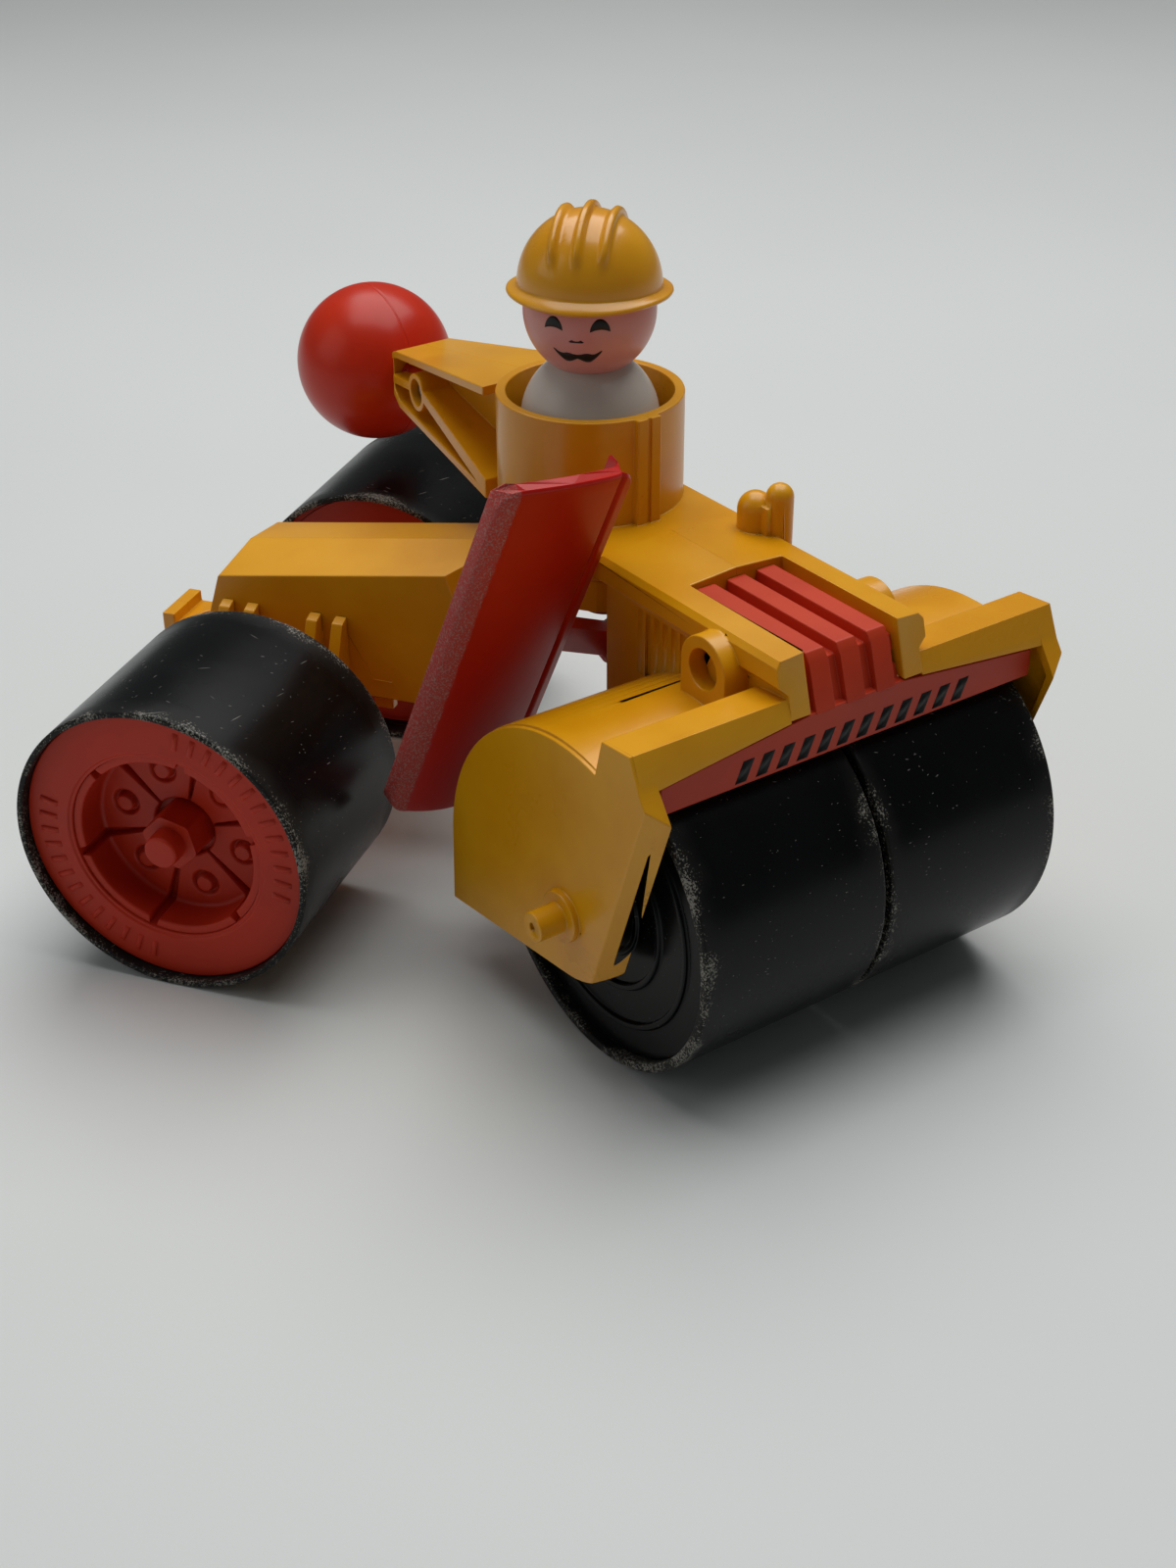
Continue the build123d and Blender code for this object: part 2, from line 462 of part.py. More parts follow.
def build():
    """Every node by name: a shape or a list of separate shapes. Rear pieces are in the rear frame."""
    right = front_half()
    left = flip(right) + exhaust()
    front = {"front_shell_right": right, "front_shell_left": left, "grille_insert": grille()}
    front["front_axle"] = rod_y(DRUM_X, DRUM_R, AXLE_R, -54.4, 54.4)
    front["drum_washers"] = [ring_y(DRUM_X, DRUM_R, 4.6, AXLE_R, *span)
                             for span in ((-45.6, -44.2), (-0.3, 0.3), (44.2, 45.6))]
    front["kingpin"] = rod_z(KING_X, 0, KING_R, 61.0, 80.0) + rod_z(KING_X, 0, 4.8, 61.0, 62.2)
    stem = rod_between(Vector(*BALL), Vector(RIVET_X - 4.0, 0, RIVET_Z), STEM_R)
    front["ball_handle"] = Pos(*BALL) * Sphere(BALL_R) + stem
    front["boom_rivet"] = rod_y(RIVET_X, RIVET_Z, 1.5, -6.0, 6.0) + rod_y(RIVET_X, RIVET_Z, 2.6, -6.9, -6.0) \
        + rod_y(RIVET_X, RIVET_Z, 2.6, 6.0, 6.9)
    front["front_screws"] = [piece for x, z in SCREWS for piece in screw_y(x, z, 4.0, 7.6)]
    pin = swing_plane(-10.6)
    front["blade_pivot_pin"] = extrude(pin * Circle(AXLE_R), amount=24.6)
    front["blade_pivot_pin"] += extrude(pin * Circle(4.0), amount=1.2)
    front["blade_washer"] = extrude(swing_plane(-4.9) * Circle(4.4), amount=1.3) \
        - extrude(swing_plane(-6) * Circle(AXLE_R), amount=5)
    for side, name in ((-1, "right"), (1, "left")):
        for kind, piece in zip(("sleeve", "outer_disc", "inner_disc"), drum_pieces(side)):
            front[f"drum_{kind}_{name}"] = piece
    board, face = blade()
    front["blade"] = board
    front["blade_arm"], front["blade_screws"] = blade_arm(face)
    front.update(zip(("driver_body", "driver_head", "driver_hat"), driver()))

    rear_right = rear_half()
    rear = {"rear_shell_right": rear_right, "rear_shell_left": flip(rear_right)}
    rear["kingpin_bush"] = rod_z(0, 0, BUSH_R, TONGUE_LOW, TONGUE_TOP) - rod_z(0, 0, KING_R + RUN, 50, 80)
    rear["rear_axle"] = rod_y(REAR_AXLE_X, WHEEL_R, AXLE_R, -WHEEL_OUT + 3.4, WHEEL_OUT - 3.4)
    rear["rear_screws"] = [piece for x, z in REAR_SCREWS for piece in screw_y(x, z, 4.0, 7.6)]
    for side, name in ((-1, "right"), (1, "left")):
        low, high = sorted((side * (WHEEL_OUT - 0.4), side * (WHEEL_OUT - 3.7)))
        cap = rod_y(REAR_AXLE_X, WHEEL_R, 3.7, low, high)
        inner = sorted((side * (WHEEL_OUT - 3.7), side * (WHEEL_OUT - 2.0)))
        rear[f"axle_cap_{name}"] = cap - rod_y(REAR_AXLE_X, WHEEL_R, AXLE_R, *inner)
        for kind, piece in zip(("hub", "tyre", "back_disc"), rear_wheel(side)):
            rear[f"rear_{kind}_{name}"] = piece
    return front, rear


def main():
    """Build, place and write every piece."""
    front, rear = build()
    swing = Pos(KING_X, 0, 0) * Rot(0, 0, REST_STEER)
    nodes = {name: piece if isinstance(piece, list) else [piece] for name, piece in front.items()}
    nodes.update({name: [swing * part for part in (piece if isinstance(piece, list) else [piece])]
                  for name, piece in rear.items()})
    solids = {name: [solid for part in parts for solid in part.solids()] for name, parts in nodes.items()}
    whole = Compound(children=[Compound(parts) for parts in solids.values()]).bounding_box()
    centre = Pos(-(whole.min.X + whole.max.X) / 2, -(whole.min.Y + whole.max.Y) / 2, -whole.min.Z)
    print("shift", centre.position, "size", whole.size)
    os.makedirs("parts", exist_ok=True)
    for name, parts in solids.items():
        placed = [centre * part for part in parts]
        export_step(placed[0] if len(placed) == 1 else Compound(placed), f"parts/{name}.step")


main()
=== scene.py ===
"""Looks of the toy road roller: moulded shells, drums, rollers, blade, ball knob, driver and a plain studio.

Sizes in the classes are in millimetres. Front pieces are placed by axes that stand on the floor below the
middle of the drum, rear pieces by axes below the kingpin that are turned with the rear half.
"""

import json
import logging
from dataclasses import dataclass
from enum import Enum
from functools import reduce
from math import cos, pi, radians, sin

import bmesh
import bpy
import numpy as np
from mathutils import Matrix, Vector
from mathutils.bvhtree import BVHTree


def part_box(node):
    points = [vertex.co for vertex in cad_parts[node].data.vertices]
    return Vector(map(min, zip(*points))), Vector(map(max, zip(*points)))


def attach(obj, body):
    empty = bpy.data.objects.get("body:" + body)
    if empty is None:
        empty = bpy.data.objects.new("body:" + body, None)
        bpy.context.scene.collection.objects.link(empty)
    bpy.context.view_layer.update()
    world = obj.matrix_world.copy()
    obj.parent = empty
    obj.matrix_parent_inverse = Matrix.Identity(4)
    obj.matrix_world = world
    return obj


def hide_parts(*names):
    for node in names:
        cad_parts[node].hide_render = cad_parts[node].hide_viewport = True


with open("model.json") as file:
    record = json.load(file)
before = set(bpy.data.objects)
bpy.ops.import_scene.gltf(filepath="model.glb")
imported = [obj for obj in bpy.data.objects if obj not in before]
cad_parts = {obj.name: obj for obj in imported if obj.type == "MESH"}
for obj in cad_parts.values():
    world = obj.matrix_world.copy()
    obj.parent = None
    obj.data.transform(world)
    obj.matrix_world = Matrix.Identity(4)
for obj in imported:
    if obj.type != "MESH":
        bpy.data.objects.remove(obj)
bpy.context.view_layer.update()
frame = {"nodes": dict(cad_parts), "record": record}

LOG = logging.getLogger("road_roller")
MM = 0.001
UP = np.array((0.0, 0.0, 1.0))

SIDES = ((-1, "right"), (1, "left"))
WORN_ACROSS = -11.4  # millimetres across the blade, past which its edge is worn

# Rounding of the moulded shells
SHARP_ANGLE = 28.0  # degrees between two faces above which their edge is rounded
FLAT_ANGLE = 0.5  # degrees within which neighbouring faces are one flat
FACE_SHARE = 0.6  # part of the narrower face beside an edge that its rounding may take
EDGE_SHARE = 0.45  # part of a neighbouring edge that a rounding may take
RUNS_ON = -0.86  # cosine below which a neighbouring edge carries the line on
SEAM_SHARE = 0.35  # part of the rounding that an edge in a parting plane gets
SEAM_TOLERANCE = 0.02 * MM  # an edge this near to a parting plane lies in it
DRIFT_SHARE = 0.7  # part of the rounding by which the rounded shape may leave the plain one
SHARP_REACH = 2.0 * MM  # edges this near to a greater drift stay sharp
ROUNDING_PASSES = 2


# ---------------------------------------------------------------- places
@dataclass(frozen=True)
class Axes:
    """Local axes: an origin in metres and three directions, one in each row."""

    origin: np.ndarray
    rows: np.ndarray

    def place(self, points: np.ndarray) -> np.ndarray:
        """Points in millimetres on these axes, as metres in the row frame."""
        return self.origin + (points * MM) @ self.rows


def joint(name: str) -> dict:
    """The record's entry for one joint."""
    return next(j for j in frame["record"]["behaviour"]["joints"] if j["name"] == name)


def middle(node: str) -> np.ndarray:
    """Middle of a CAD node's box, in metres."""
    low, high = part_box(node)
    return (np.array(low) + np.array(high)) / 2


def front_axes() -> Axes:
    """Axes on the floor below the middle of the front axle, square to the row frame."""
    x, y, _ = middle("front_axle")
    return Axes(np.array((x, y, 0.0)), np.eye(3))


def rear_axes() -> Axes:
    """Axes on the floor below the kingpin, turned so that Y runs along the rear axle."""
    king = joint("steering")["pos_m"]
    across = np.array(joint("wheel_left_spin")["axis"], float)
    return Axes(np.array((king[0], king[1], 0.0)), np.array((np.cross(across, UP), across, UP)))


def axle_axes(base: Axes, x: float, z: float, side: int) -> Axes:
    """Axes on an axle line: the first direction points outwards to that side, the others are radial."""
    out = base.rows[1] * side
    return Axes(base.place(np.array((x, 0.0, z))), np.array((out, base.rows[0], np.cross(out, base.rows[0]))))


# ---------------------------------------------------------------- meshes
def linked(name: str, data: bpy.types.ID) -> bpy.types.Object:
    """New object on this data, linked to the scene."""
    obj = bpy.data.objects.new(name, data)
    bpy.context.scene.collection.objects.link(obj)
    return obj


def mesh_points(mesh: bpy.types.Mesh) -> np.ndarray:
    """Place of each vertex."""
    points = np.empty(len(mesh.vertices) * 3)
    mesh.vertices.foreach_get("co", points)
    return points.reshape(-1, 3)


def edge_ends(mesh: bpy.types.Mesh) -> np.ndarray:
    """Places of both ends of each edge, shaped (edges, 2, 3)."""
    ends = np.empty(len(mesh.edges) * 2, int)
    mesh.edges.foreach_get("vertices", ends)
    return mesh_points(mesh)[ends.reshape(-1, 2)]


def mesh_triangles(mesh: bpy.types.Mesh) -> np.ndarray:
    """Vertex numbers of each triangle."""
    mesh.calc_loop_triangles()
    corners = np.empty(len(mesh.loop_triangles) * 3, int)
    mesh.loop_triangles.foreach_get("vertices", corners)
    return corners.reshape(-1, 3)


def shade_smooth(mesh: bpy.types.Mesh) -> None:
    """Shade every face smooth."""
    mesh.polygons.foreach_set("use_smooth", np.ones(len(mesh.polygons), bool))


def grid_faces(rows: int, cols: int, wrap_rows: bool, wrap_cols: bool) -> np.ndarray:
    """Quads between neighbouring points of a grid, each face being row r and r + 1 by column c and c + 1."""
    r = np.arange(rows if wrap_rows else rows - 1)[:, None]
    c = np.arange(cols if wrap_cols else cols - 1)[None, :]
    below, beside = (r + 1) % rows, (c + 1) % cols
    corners = (r * cols + c, r * cols + beside, below * cols + beside, below * cols + c)
    return np.stack(corners, -1).reshape(-1, 4)


def finish_mesh(mesh: bpy.types.Mesh, closed: bool, away_from: np.ndarray | None) -> None:
    """Merge the doubles at seams and poles, turn the faces outwards and shade them smooth.

    Args:
        mesh: The mesh.
        closed: Whether it encloses a volume.
        away_from: For an open surface, the point that its faces look away from.
    """
    bm = bmesh.new()
    bm.from_mesh(mesh)
    bmesh.ops.remove_doubles(bm, verts=bm.verts, dist=1e-6)
    bmesh.ops.dissolve_degenerate(bm, dist=1e-7, edges=bm.edges)
    if closed:
        bmesh.ops.recalc_face_normals(bm, faces=bm.faces)
    bm.normal_update()
    if away_from is not None:
        centre = Vector(away_from)
        if sum((f.calc_center_median() - centre).dot(f.normal) for f in bm.faces) < 0:
            bmesh.ops.reverse_faces(bm, faces=bm.faces)
    bm.to_mesh(mesh)
    bm.free()
    shade_smooth(mesh)


def surface(name: str, points: np.ndarray, wrap_rows: bool = False, wrap_cols: bool = False,
            closed: bool = True, away_from: np.ndarray | None = None) -> bpy.types.Object:
    """Object whose mesh is one or more grids of points.

    Args:
        name: Name of the piece.
        points: Row-frame points, shaped (rows, columns, 3), or (grids, rows, columns, 3).
        wrap_rows: Whether the last row joins the first.
        wrap_cols: Whether the last column joins the first.
        closed: Whether the surface encloses a volume, so that its normals can be worked out.
        away_from: For an open surface, the point that its faces look away from.

    Returns:
        The new object, linked to the scene.
    """
    grids = points[None] if points.ndim == 3 else points
    count, rows, cols, _ = grids.shape
    faces = grid_faces(rows, cols, wrap_rows, wrap_cols)
    faces = (faces[None] + (np.arange(count) * rows * cols)[:, None, None]).reshape(-1, 4)
    mesh = bpy.data.meshes.new(name)
    mesh.from_pydata(grids.reshape(-1, 3).tolist(), [], faces.tolist())
    finish_mesh(mesh, closed, away_from)
    return linked(name, mesh)


def rounded(corners: list[tuple[float, float, float]], steps: int = 6, ring: bool = True) -> np.ndarray:
    """Profile with rounded corners.

    Each corner P with neighbours A and B is replaced by the curve
    (1-t)^2 (P + r a) + 2t(1-t) P + t^2 (P + r b), where a and b are unit vectors towards A and B, with one more
    point a little outside each end of the curve.

    Args:
        corners: Along, radius and corner rounding, in millimetres.
        steps: Pieces of each curve.
        ring: Whether the profile is a closed loop.

    Returns:
        Array of (along, radius) points.
    """
    data = np.array(corners, float)
    at, size = data[:, :2], data[:, 2:3]
    before, after = np.roll(at, 1, 0) - at, np.roll(at, -1, 0) - at
    if not ring:
        before[0], after[-1] = 0.0, 0.0
    span_a, span_b = (np.linalg.norm(span, axis=1, keepdims=True) for span in (before, after))
    a = before / np.maximum(span_a, 1e-9)
    b = after / np.maximum(span_b, 1e-9)
    shorter = np.minimum(*(np.where(span > 0, span, 1e9) for span in (span_a, span_b)))
    r = np.minimum(size, 0.45 * shorter)
    t = np.linspace(0, 1, steps + 1)[None, :, None]
    p, ra, rb = at[:, None], (at + r * a)[:, None], (at + r * b)[:, None]
    curve = (1 - t) ** 2 * ra + 2 * t * (1 - t) * p + t ** 2 * rb
    lead, tail = (at + 1.08 * r * a)[:, None], (at + 1.08 * r * b)[:, None]
    line = np.concatenate([lead, curve, tail], 1).reshape(-1, 2)
    keep = np.r_[True, np.linalg.norm(np.diff(line, axis=0), axis=1) > 1e-4]
    return line[keep]


def turned(name: str, axes: Axes, profile: np.ndarray, segments: int = 128,
           ring: bool = True) -> bpy.types.Object:
    """Surface of revolution: each profile point (along, radius) goes to along on the first axis and
    radius times (cos angle, sin angle) on the other two. An open profile starts and ends on the axis.

    Args:
        name: Name of the piece.
        axes: Axes whose first direction is the axis of the turning.
        profile: Points (along, radius) in millimetres.
        segments: Steps round the axis.
        ring: Whether the profile is a closed loop.

    Returns:
        The new object.
    """
    angle = np.linspace(0, 2 * pi, segments, endpoint=False)[None, :]
    along, radius = profile[:, 0:1], profile[:, 1:2]
    local = np.stack([along + 0 * angle, radius * np.cos(angle), radius * np.sin(angle)], -1)
    return surface(name, axes.place(local), wrap_rows=ring, wrap_cols=True)


def rounding_room(bm: bmesh.types.BMesh) -> np.ndarray:
    """Widest rounding each sharp edge has room for.

    It is the least of FACE_SHARE of the mean widths of the two faces beside the edge, and at both ends
    EDGE_SHARE of each other edge that turns away, times the sine of the angle between them.

    Args:
        bm: The mesh.

    Returns:
        The width per edge, zero where an edge isn't rounded.
    """
    bm.edges.index_update()
    room = np.zeros(len(bm.edges))
    for edge in bm.edges:
        if len(edge.link_faces) != 2 or edge.calc_face_angle(0.0) <= radians(SHARP_ANGLE):
            continue
        length = max(edge.calc_length(), 1e-7)
        width = min(face.calc_area() / length for face in edge.link_faces) * FACE_SHARE
        for vert in edge.verts:
            along = (edge.other_vert(vert).co - vert.co).normalized()
            for other in vert.link_edges:
                cosine = along.dot((other.other_vert(vert).co - vert.co).normalized())
                if other is not edge and cosine > RUNS_ON:
                    sine = max(1 - cosine ** 2, 0.0) ** 0.5
                    width = min(width, EDGE_SHARE * other.calc_length() * sine)
        room[edge.index] = width
    return room


def moulded_copy(node: str, name: str, radius: float, seam: Axes | None = None) -> bpy.types.Object:
    """Copy of a CAD node with its edges rounded as a moulding's are.

    Args:
        node: The CAD node.
        name: Name of the copy.
        radius: Width of the rounding in millimetres.
        seam: Axes whose XZ plane is a parting plane; edges in it get only a fine rounding.

    Returns:
        The copy, which replaces the node.
    """
    mesh = frame["nodes"][node].data.copy()
    mesh.name = name
    flat = radians(FLAT_ANGLE)
    bm = bmesh.new()
    bm.from_mesh(mesh)
    bmesh.ops.remove_doubles(bm, verts=bm.verts, dist=2e-6)
    bmesh.ops.dissolve_limit(bm, angle_limit=flat, verts=bm.verts, edges=bm.edges)
    many_sided = [face for face in bm.faces if len(face.verts) > 4]
    bmesh.ops.triangulate(bm, faces=many_sided, ngon_method="BEAUTY")
    bmesh.ops.join_triangles(bm, faces=bm.faces, angle_face_threshold=flat, angle_shape_threshold=pi)
    bm.normal_update()
    weight = np.clip(rounding_room(bm) / (radius * MM), 0, 1)
    bm.to_mesh(mesh)
    bm.free()
    for layer in ("custom_normal", "sharp_edge", "sharp_face"):
        if layer in mesh.attributes:
            mesh.attributes.remove(mesh.attributes[layer])
    shade_smooth(mesh)
    if seam is not None:
        off = np.abs((edge_ends(mesh) - seam.origin) @ seam.rows[1])
        weight[off.max(1) < SEAM_TOLERANCE] *= SEAM_SHARE
    layer = mesh.attributes.new("bevel_weight_edge", "FLOAT", "EDGE")
    layer.data.foreach_set("value", weight)
    obj = linked(name, mesh)
    bevel = obj.modifiers.new("rounding", "BEVEL")
    bevel.limit_method = "WEIGHT"
    bevel.width = radius * MM
    bevel.segments = 2
    bevel.use_clamp_overlap = False
    bevel.harden_normals = True
    bevel.miter_outer = "MITER_ARC"
    for _ in range(ROUNDING_PASSES):
        leave_sharp(obj, DRIFT_SHARE * radius * MM)
    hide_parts(node)
    return obj


def spread_points(mesh: bpy.types.Mesh) -> np.ndarray:
    """Middle of each triangle of a mesh, and three points near its corners."""
    shares = np.array(((1, 1, 1), (4, 1, 1), (1, 4, 1), (1, 1, 4)), float)
    shares /= shares.sum(1, keepdims=True)
    return np.einsum("sc,tcx->tsx", shares, mesh_points(mesh)[mesh_triangles(mesh)]).reshape(-1, 3)


def drift(samples: bpy.types.Mesh, target: bpy.types.Mesh, limit: float) -> list[np.ndarray]:
    """Points spread over one mesh that are further than a limit from the other."""
    tree = BVHTree.FromPolygons(mesh_points(target).tolist(), mesh_triangles(target).tolist())
    return [point for point in spread_points(samples) if tree.find_nearest(Vector(point))[3] > limit]


def leave_sharp(obj: bpy.types.Object, limit: float) -> None:
    """Take the rounding off the edges near any place where the rounded shape leaves the plain one.

    Args:
        obj: The copy with its rounding modifier.
        limit: Greatest distance between the two shapes, in metres.
    """
    evaluated = obj.evaluated_get(bpy.context.evaluated_depsgraph_get())
    soft = evaluated.to_mesh()
    off = drift(obj.data, soft, limit) + drift(soft, obj.data, limit)
    evaluated.to_mesh_clear()
    if not off:
        return
    middles = edge_ends(obj.data).mean(1)
    near = np.zeros(len(middles), bool)
    for point in off:
        near |= ((middles - point) ** 2).sum(1) < SHARP_REACH ** 2
    layer = obj.data.attributes["bevel_weight_edge"]
    weight = np.empty(len(middles), np.float32)
    layer.data.foreach_get("value", weight)
    weight[near] = 0.0
    layer.data.foreach_set("value", weight)
    obj.data.update()
    LOG.info("%s: %d edges left sharp", obj.name, int(near.sum()))


# ---------------------------------------------------------------- shader graphs
Value = object


class Graph:
    """Short way to add nodes and wires to a node tree."""

    def __init__(self, tree: bpy.types.NodeTree) -> None:
        """Keep the tree."""
        self.tree = tree

    def wire(self, node: bpy.types.Node, inputs: dict) -> None:
        """Set a node's inputs by name or number, each from a value or a socket."""
        for key, value in inputs.items():
            if isinstance(value, bpy.types.NodeSocket):
                self.tree.links.new(value, node.inputs[key])
            else:
                node.inputs[key].default_value = value

    def add(self, kind: str, inputs: dict | None = None, **settings: Value) -> bpy.types.Node:
        """Add a node, with settings by attribute and inputs as wire takes them."""
        node = self.tree.nodes.new(kind)
        for key, value in settings.items():
            setattr(node, key, value)
        self.wire(node, inputs or {})
        return node

    def math(self, operation: str, a: Value, b: Value = 0.0, clamp: bool = False) -> bpy.types.NodeSocket:
        """Result of one arithmetic step."""
        return self.add("ShaderNodeMath", {0: a, 1: b}, operation=operation, use_clamp=clamp).outputs[0]

    def times(self, a: Value, b: Value, clamp: bool = False) -> bpy.types.NodeSocket:
        """a times b."""
        return self.math("MULTIPLY", a, b, clamp)

    def plus(self, a: Value, b: Value, share: Value, clamp: bool = False) -> bpy.types.NodeSocket:
        """a plus a share of b."""
        return self.math("ADD", a, self.times(b, share), clamp)

    def less(self, a: Value, b: Value) -> bpy.types.NodeSocket:
        """a less b."""
        return self.math("SUBTRACT", a, b)

    def largest(self, values: list[Value]) -> bpy.types.NodeSocket:
        """Largest of several values."""
        return reduce(lambda a, b: self.math("MAXIMUM", a, b), values)

    def dot(self, a: Value, b: Value) -> bpy.types.NodeSocket:
        """Dot product of two vectors."""
        return self.add("ShaderNodeVectorMath", {0: a, 1: b}, operation="DOT_PRODUCT").outputs["Value"]

    def bump(self, height: Value, distance: float, strength: float) -> bpy.types.NodeSocket:
        """Normal bent by a height."""
        inputs = {"Height": height, "Distance": distance, "Strength": strength}
        return self.add("ShaderNodeBump", inputs).outputs[0]

    def mix(self, factor: Value, a: Value, b: Value) -> bpy.types.NodeSocket:
        """Mix of two colours."""
        return self.add("ShaderNodeMix", {0: factor, 6: a, 7: b}, data_type="RGBA").outputs[2]

    def ramp(self, value: Value, low: Value, high: Value, smooth: bool = True) -> bpy.types.NodeSocket:
        """0 below low, 1 above high, and a smooth or straight step between."""
        kind = "SMOOTHSTEP" if smooth else "LINEAR"
        return self.add("ShaderNodeMapRange", {0: value, 1: low, 2: high}, interpolation_type=kind).outputs[0]

    def noise(self, at: Value, scale: Value, detail: float = 2.0, rough: float = 0.5) -> bpy.types.NodeSocket:
        """Cloudy value from 0 to 1."""
        inputs = {"Vector": at, "Scale": scale, "Detail": detail, "Roughness": rough}
        return self.add("ShaderNodeTexNoise", inputs).outputs[0]


def tone(code: str) -> tuple[float, float, float, float]:
    """Linear colour of an sRGB code such as e1a01e: ((c + 0.055) / 1.055) ^ 2.4 for each part above 0.04."""
    parts = np.array([int(code[i:i + 2], 16) for i in (0, 2, 4)]) / 255
    linear = np.where(parts <= 0.04045, parts / 12.92, ((parts + 0.055) / 1.055) ** 2.4)
    return (*linear.tolist(), 1.0)


def new_group(name: str, inputs: dict[str, float], outputs: tuple[str, ...] = ("Mask",)
              ) -> tuple[Graph, dict, bpy.types.Node]:
    """Empty shader group with a vector input, float inputs and float outputs.

    Args:
        name: Name of the group.
        inputs: Default of each float input by name.
        outputs: Names of the outputs.

    Returns:
        Its graph, its input sockets by name, and its output node.
    """
    tree = bpy.data.node_groups.new(name, "ShaderNodeTree")
    tree.interface.new_socket("Vector", in_out="INPUT", socket_type="NodeSocketVector")
    for key, default in inputs.items():
        socket = tree.interface.new_socket(key, in_out="INPUT", socket_type="NodeSocketFloat")
        socket.default_value = default
    for key in outputs:
        tree.interface.new_socket(key, in_out="OUTPUT", socket_type="NodeSocketFloat")
    graph = Graph(tree)
    source, sink = graph.add("NodeGroupInput"), graph.add("NodeGroupOutput")
    return graph, {key: source.outputs[key] for key in ("Vector", *inputs)}, sink


def new_material(name: str) -> tuple[bpy.types.Material, Graph, bpy.types.Node, bpy.types.NodeSocket]:
    """New material, its graph, its shader node and a socket with the place on the object."""
    mat = bpy.data.materials.new(name)
    mat.use_nodes = True
    graph = Graph(mat.node_tree)
    at = graph.add("ShaderNodeTexCoord").outputs["Object"]
    return mat, graph, mat.node_tree.nodes["Principled BSDF"], at


class Effects:
    """Shader groups that the finishes share: speckle, hairlines, rubbed edges, painted shade in inner corners
    and moulding ripple.
    """

    def __init__(self) -> None:
        """Build each group once."""
        self.speckle = self.make_speckle()
        self.hairlines = self.make_hairlines()
        self.grime = self.make_grime()
        self.rub = self.make_rub()
        self.ripple = self.make_ripple()

    @staticmethod
    def make_speckle() -> bpy.types.NodeTree:
        """Fine dots where a high-pitched noise passes a limit that a slow noise raises and lowers."""
        g, at, out = new_group("fine_speckle", {"Scale": 1500.0, "Coverage": 0.3})
        dots = g.noise(at["Vector"], at["Scale"], 3.0, 0.75)
        patches = g.noise(at["Vector"], g.times(at["Scale"], 0.045), 3.0, 0.6)
        limit = g.less(g.less(0.86, g.times(at["Coverage"], 0.36)), g.times(g.less(patches, 0.5), 0.55))
        g.wire(out, {"Mask": g.ramp(dots, limit, g.math("ADD", limit, 0.05))})
        return g.tree

    @staticmethod
    def make_hairlines() -> bpy.types.NodeTree:
        """Short scratches: scattered points drawn out into needles by squeezing space along one direction, laid
        four ways, wherever the surface cuts them."""
        g, at, out = new_group("hairline_scratches", {"Scale": 600.0, "Amount": 0.5})
        crowd = g.ramp(g.noise(at["Vector"], 55.0, 2.0, 0.6), 0.36, 0.58)
        width = g.times(g.times(at["Amount"], 0.14), g.plus(0.35, crowd, 0.65))
        parts = []
        for turn, squeeze in (((0.1, 0.2, 1.3), 0.04), ((0.3, -0.4, 1.1), 0.06), ((0.0, -0.15, 1.95), 0.03),
                              ((0.8, 0.1, 2.8), 0.06)):
            turned_to = g.add("ShaderNodeMapping", {"Vector": at["Vector"], "Rotation": turn}).outputs[0]
            moved = g.add("ShaderNodeMapping", {"Vector": turned_to, "Scale": (squeeze, 1.0, 1.0)}).outputs[0]
            far = g.add("ShaderNodeTexVoronoi", {"Vector": moved, "Scale": at["Scale"]}).outputs["Distance"]
            parts.append(g.ramp(far, width, g.times(width, 0.4)))
        g.wire(out, {"Mask": g.largest(parts)})
        return g.tree

    @staticmethod
    def hidden(g: Graph, reach: Value, inside: bool) -> bpy.types.NodeSocket:
        """Part of the sky, or of the body's inside, that is closed off within a short reach."""
        seen = g.add("ShaderNodeAmbientOcclusion", {"Distance": reach}, samples=6, inside=inside,
                     only_local=True)
        return g.less(1.0, seen.outputs["AO"])

    @classmethod
    def make_grime(cls) -> bpy.types.NodeTree:
        """Painted shade in inner corners: the part of the sky hidden within a short reach, broken up by noise.
        """
        g, at, out = new_group("corner_grime", {"Reach": 0.002, "Amount": 0.5})
        corner = g.ramp(cls.hidden(g, at["Reach"], False), 0.35, 0.85)
        cloud = g.ramp(g.noise(at["Vector"], 420.0, 4.0, 0.65), 0.36, 0.66)
        g.wire(out, {"Mask": g.times(g.times(corner, cloud), at["Amount"], clamp=True)})
        return g.tree

    @classmethod
    def make_rub(cls) -> bpy.types.NodeTree:
        """Rubbed outer edges: where the body is thin within a short reach, broken up by two noises."""
        g, at, out = new_group("rubbed_edges", {"Reach": 0.0007, "Amount": 0.5})
        edge = g.ramp(cls.hidden(g, at["Reach"], True), 0.42, 0.62)
        patches = g.ramp(g.noise(at["Vector"], 70.0, 3.0, 0.6), 0.5, 0.68)
        grain = g.ramp(g.noise(at["Vector"], 1900.0, 3.0, 0.7), 0.42, 0.6)
        g.wire(out, {"Mask": g.times(g.times(edge, g.times(patches, grain)), at["Amount"], clamp=True)})
        return g.tree

    @staticmethod
    def make_ripple() -> bpy.types.NodeTree:
        """Slow unevenness of moulded plastic, and its fine orange-peel height."""
        g, at, out = new_group("moulding_ripple", {"Scale": 45.0}, ("Cloud", "Height"))
        cloud = g.noise(at["Vector"], at["Scale"], 3.0, 0.55)
        peel = g.noise(at["Vector"], g.times(at["Scale"], 28.0), 2.0, 0.5)
        g.wire(out, {"Cloud": cloud, "Height": g.plus(cloud, peel, 0.12)})
        return g.tree


@dataclass
class Look:
    """Colour, roughness and height that a material has gathered so far."""

    colour: Value
    rough: Value
    height: Value


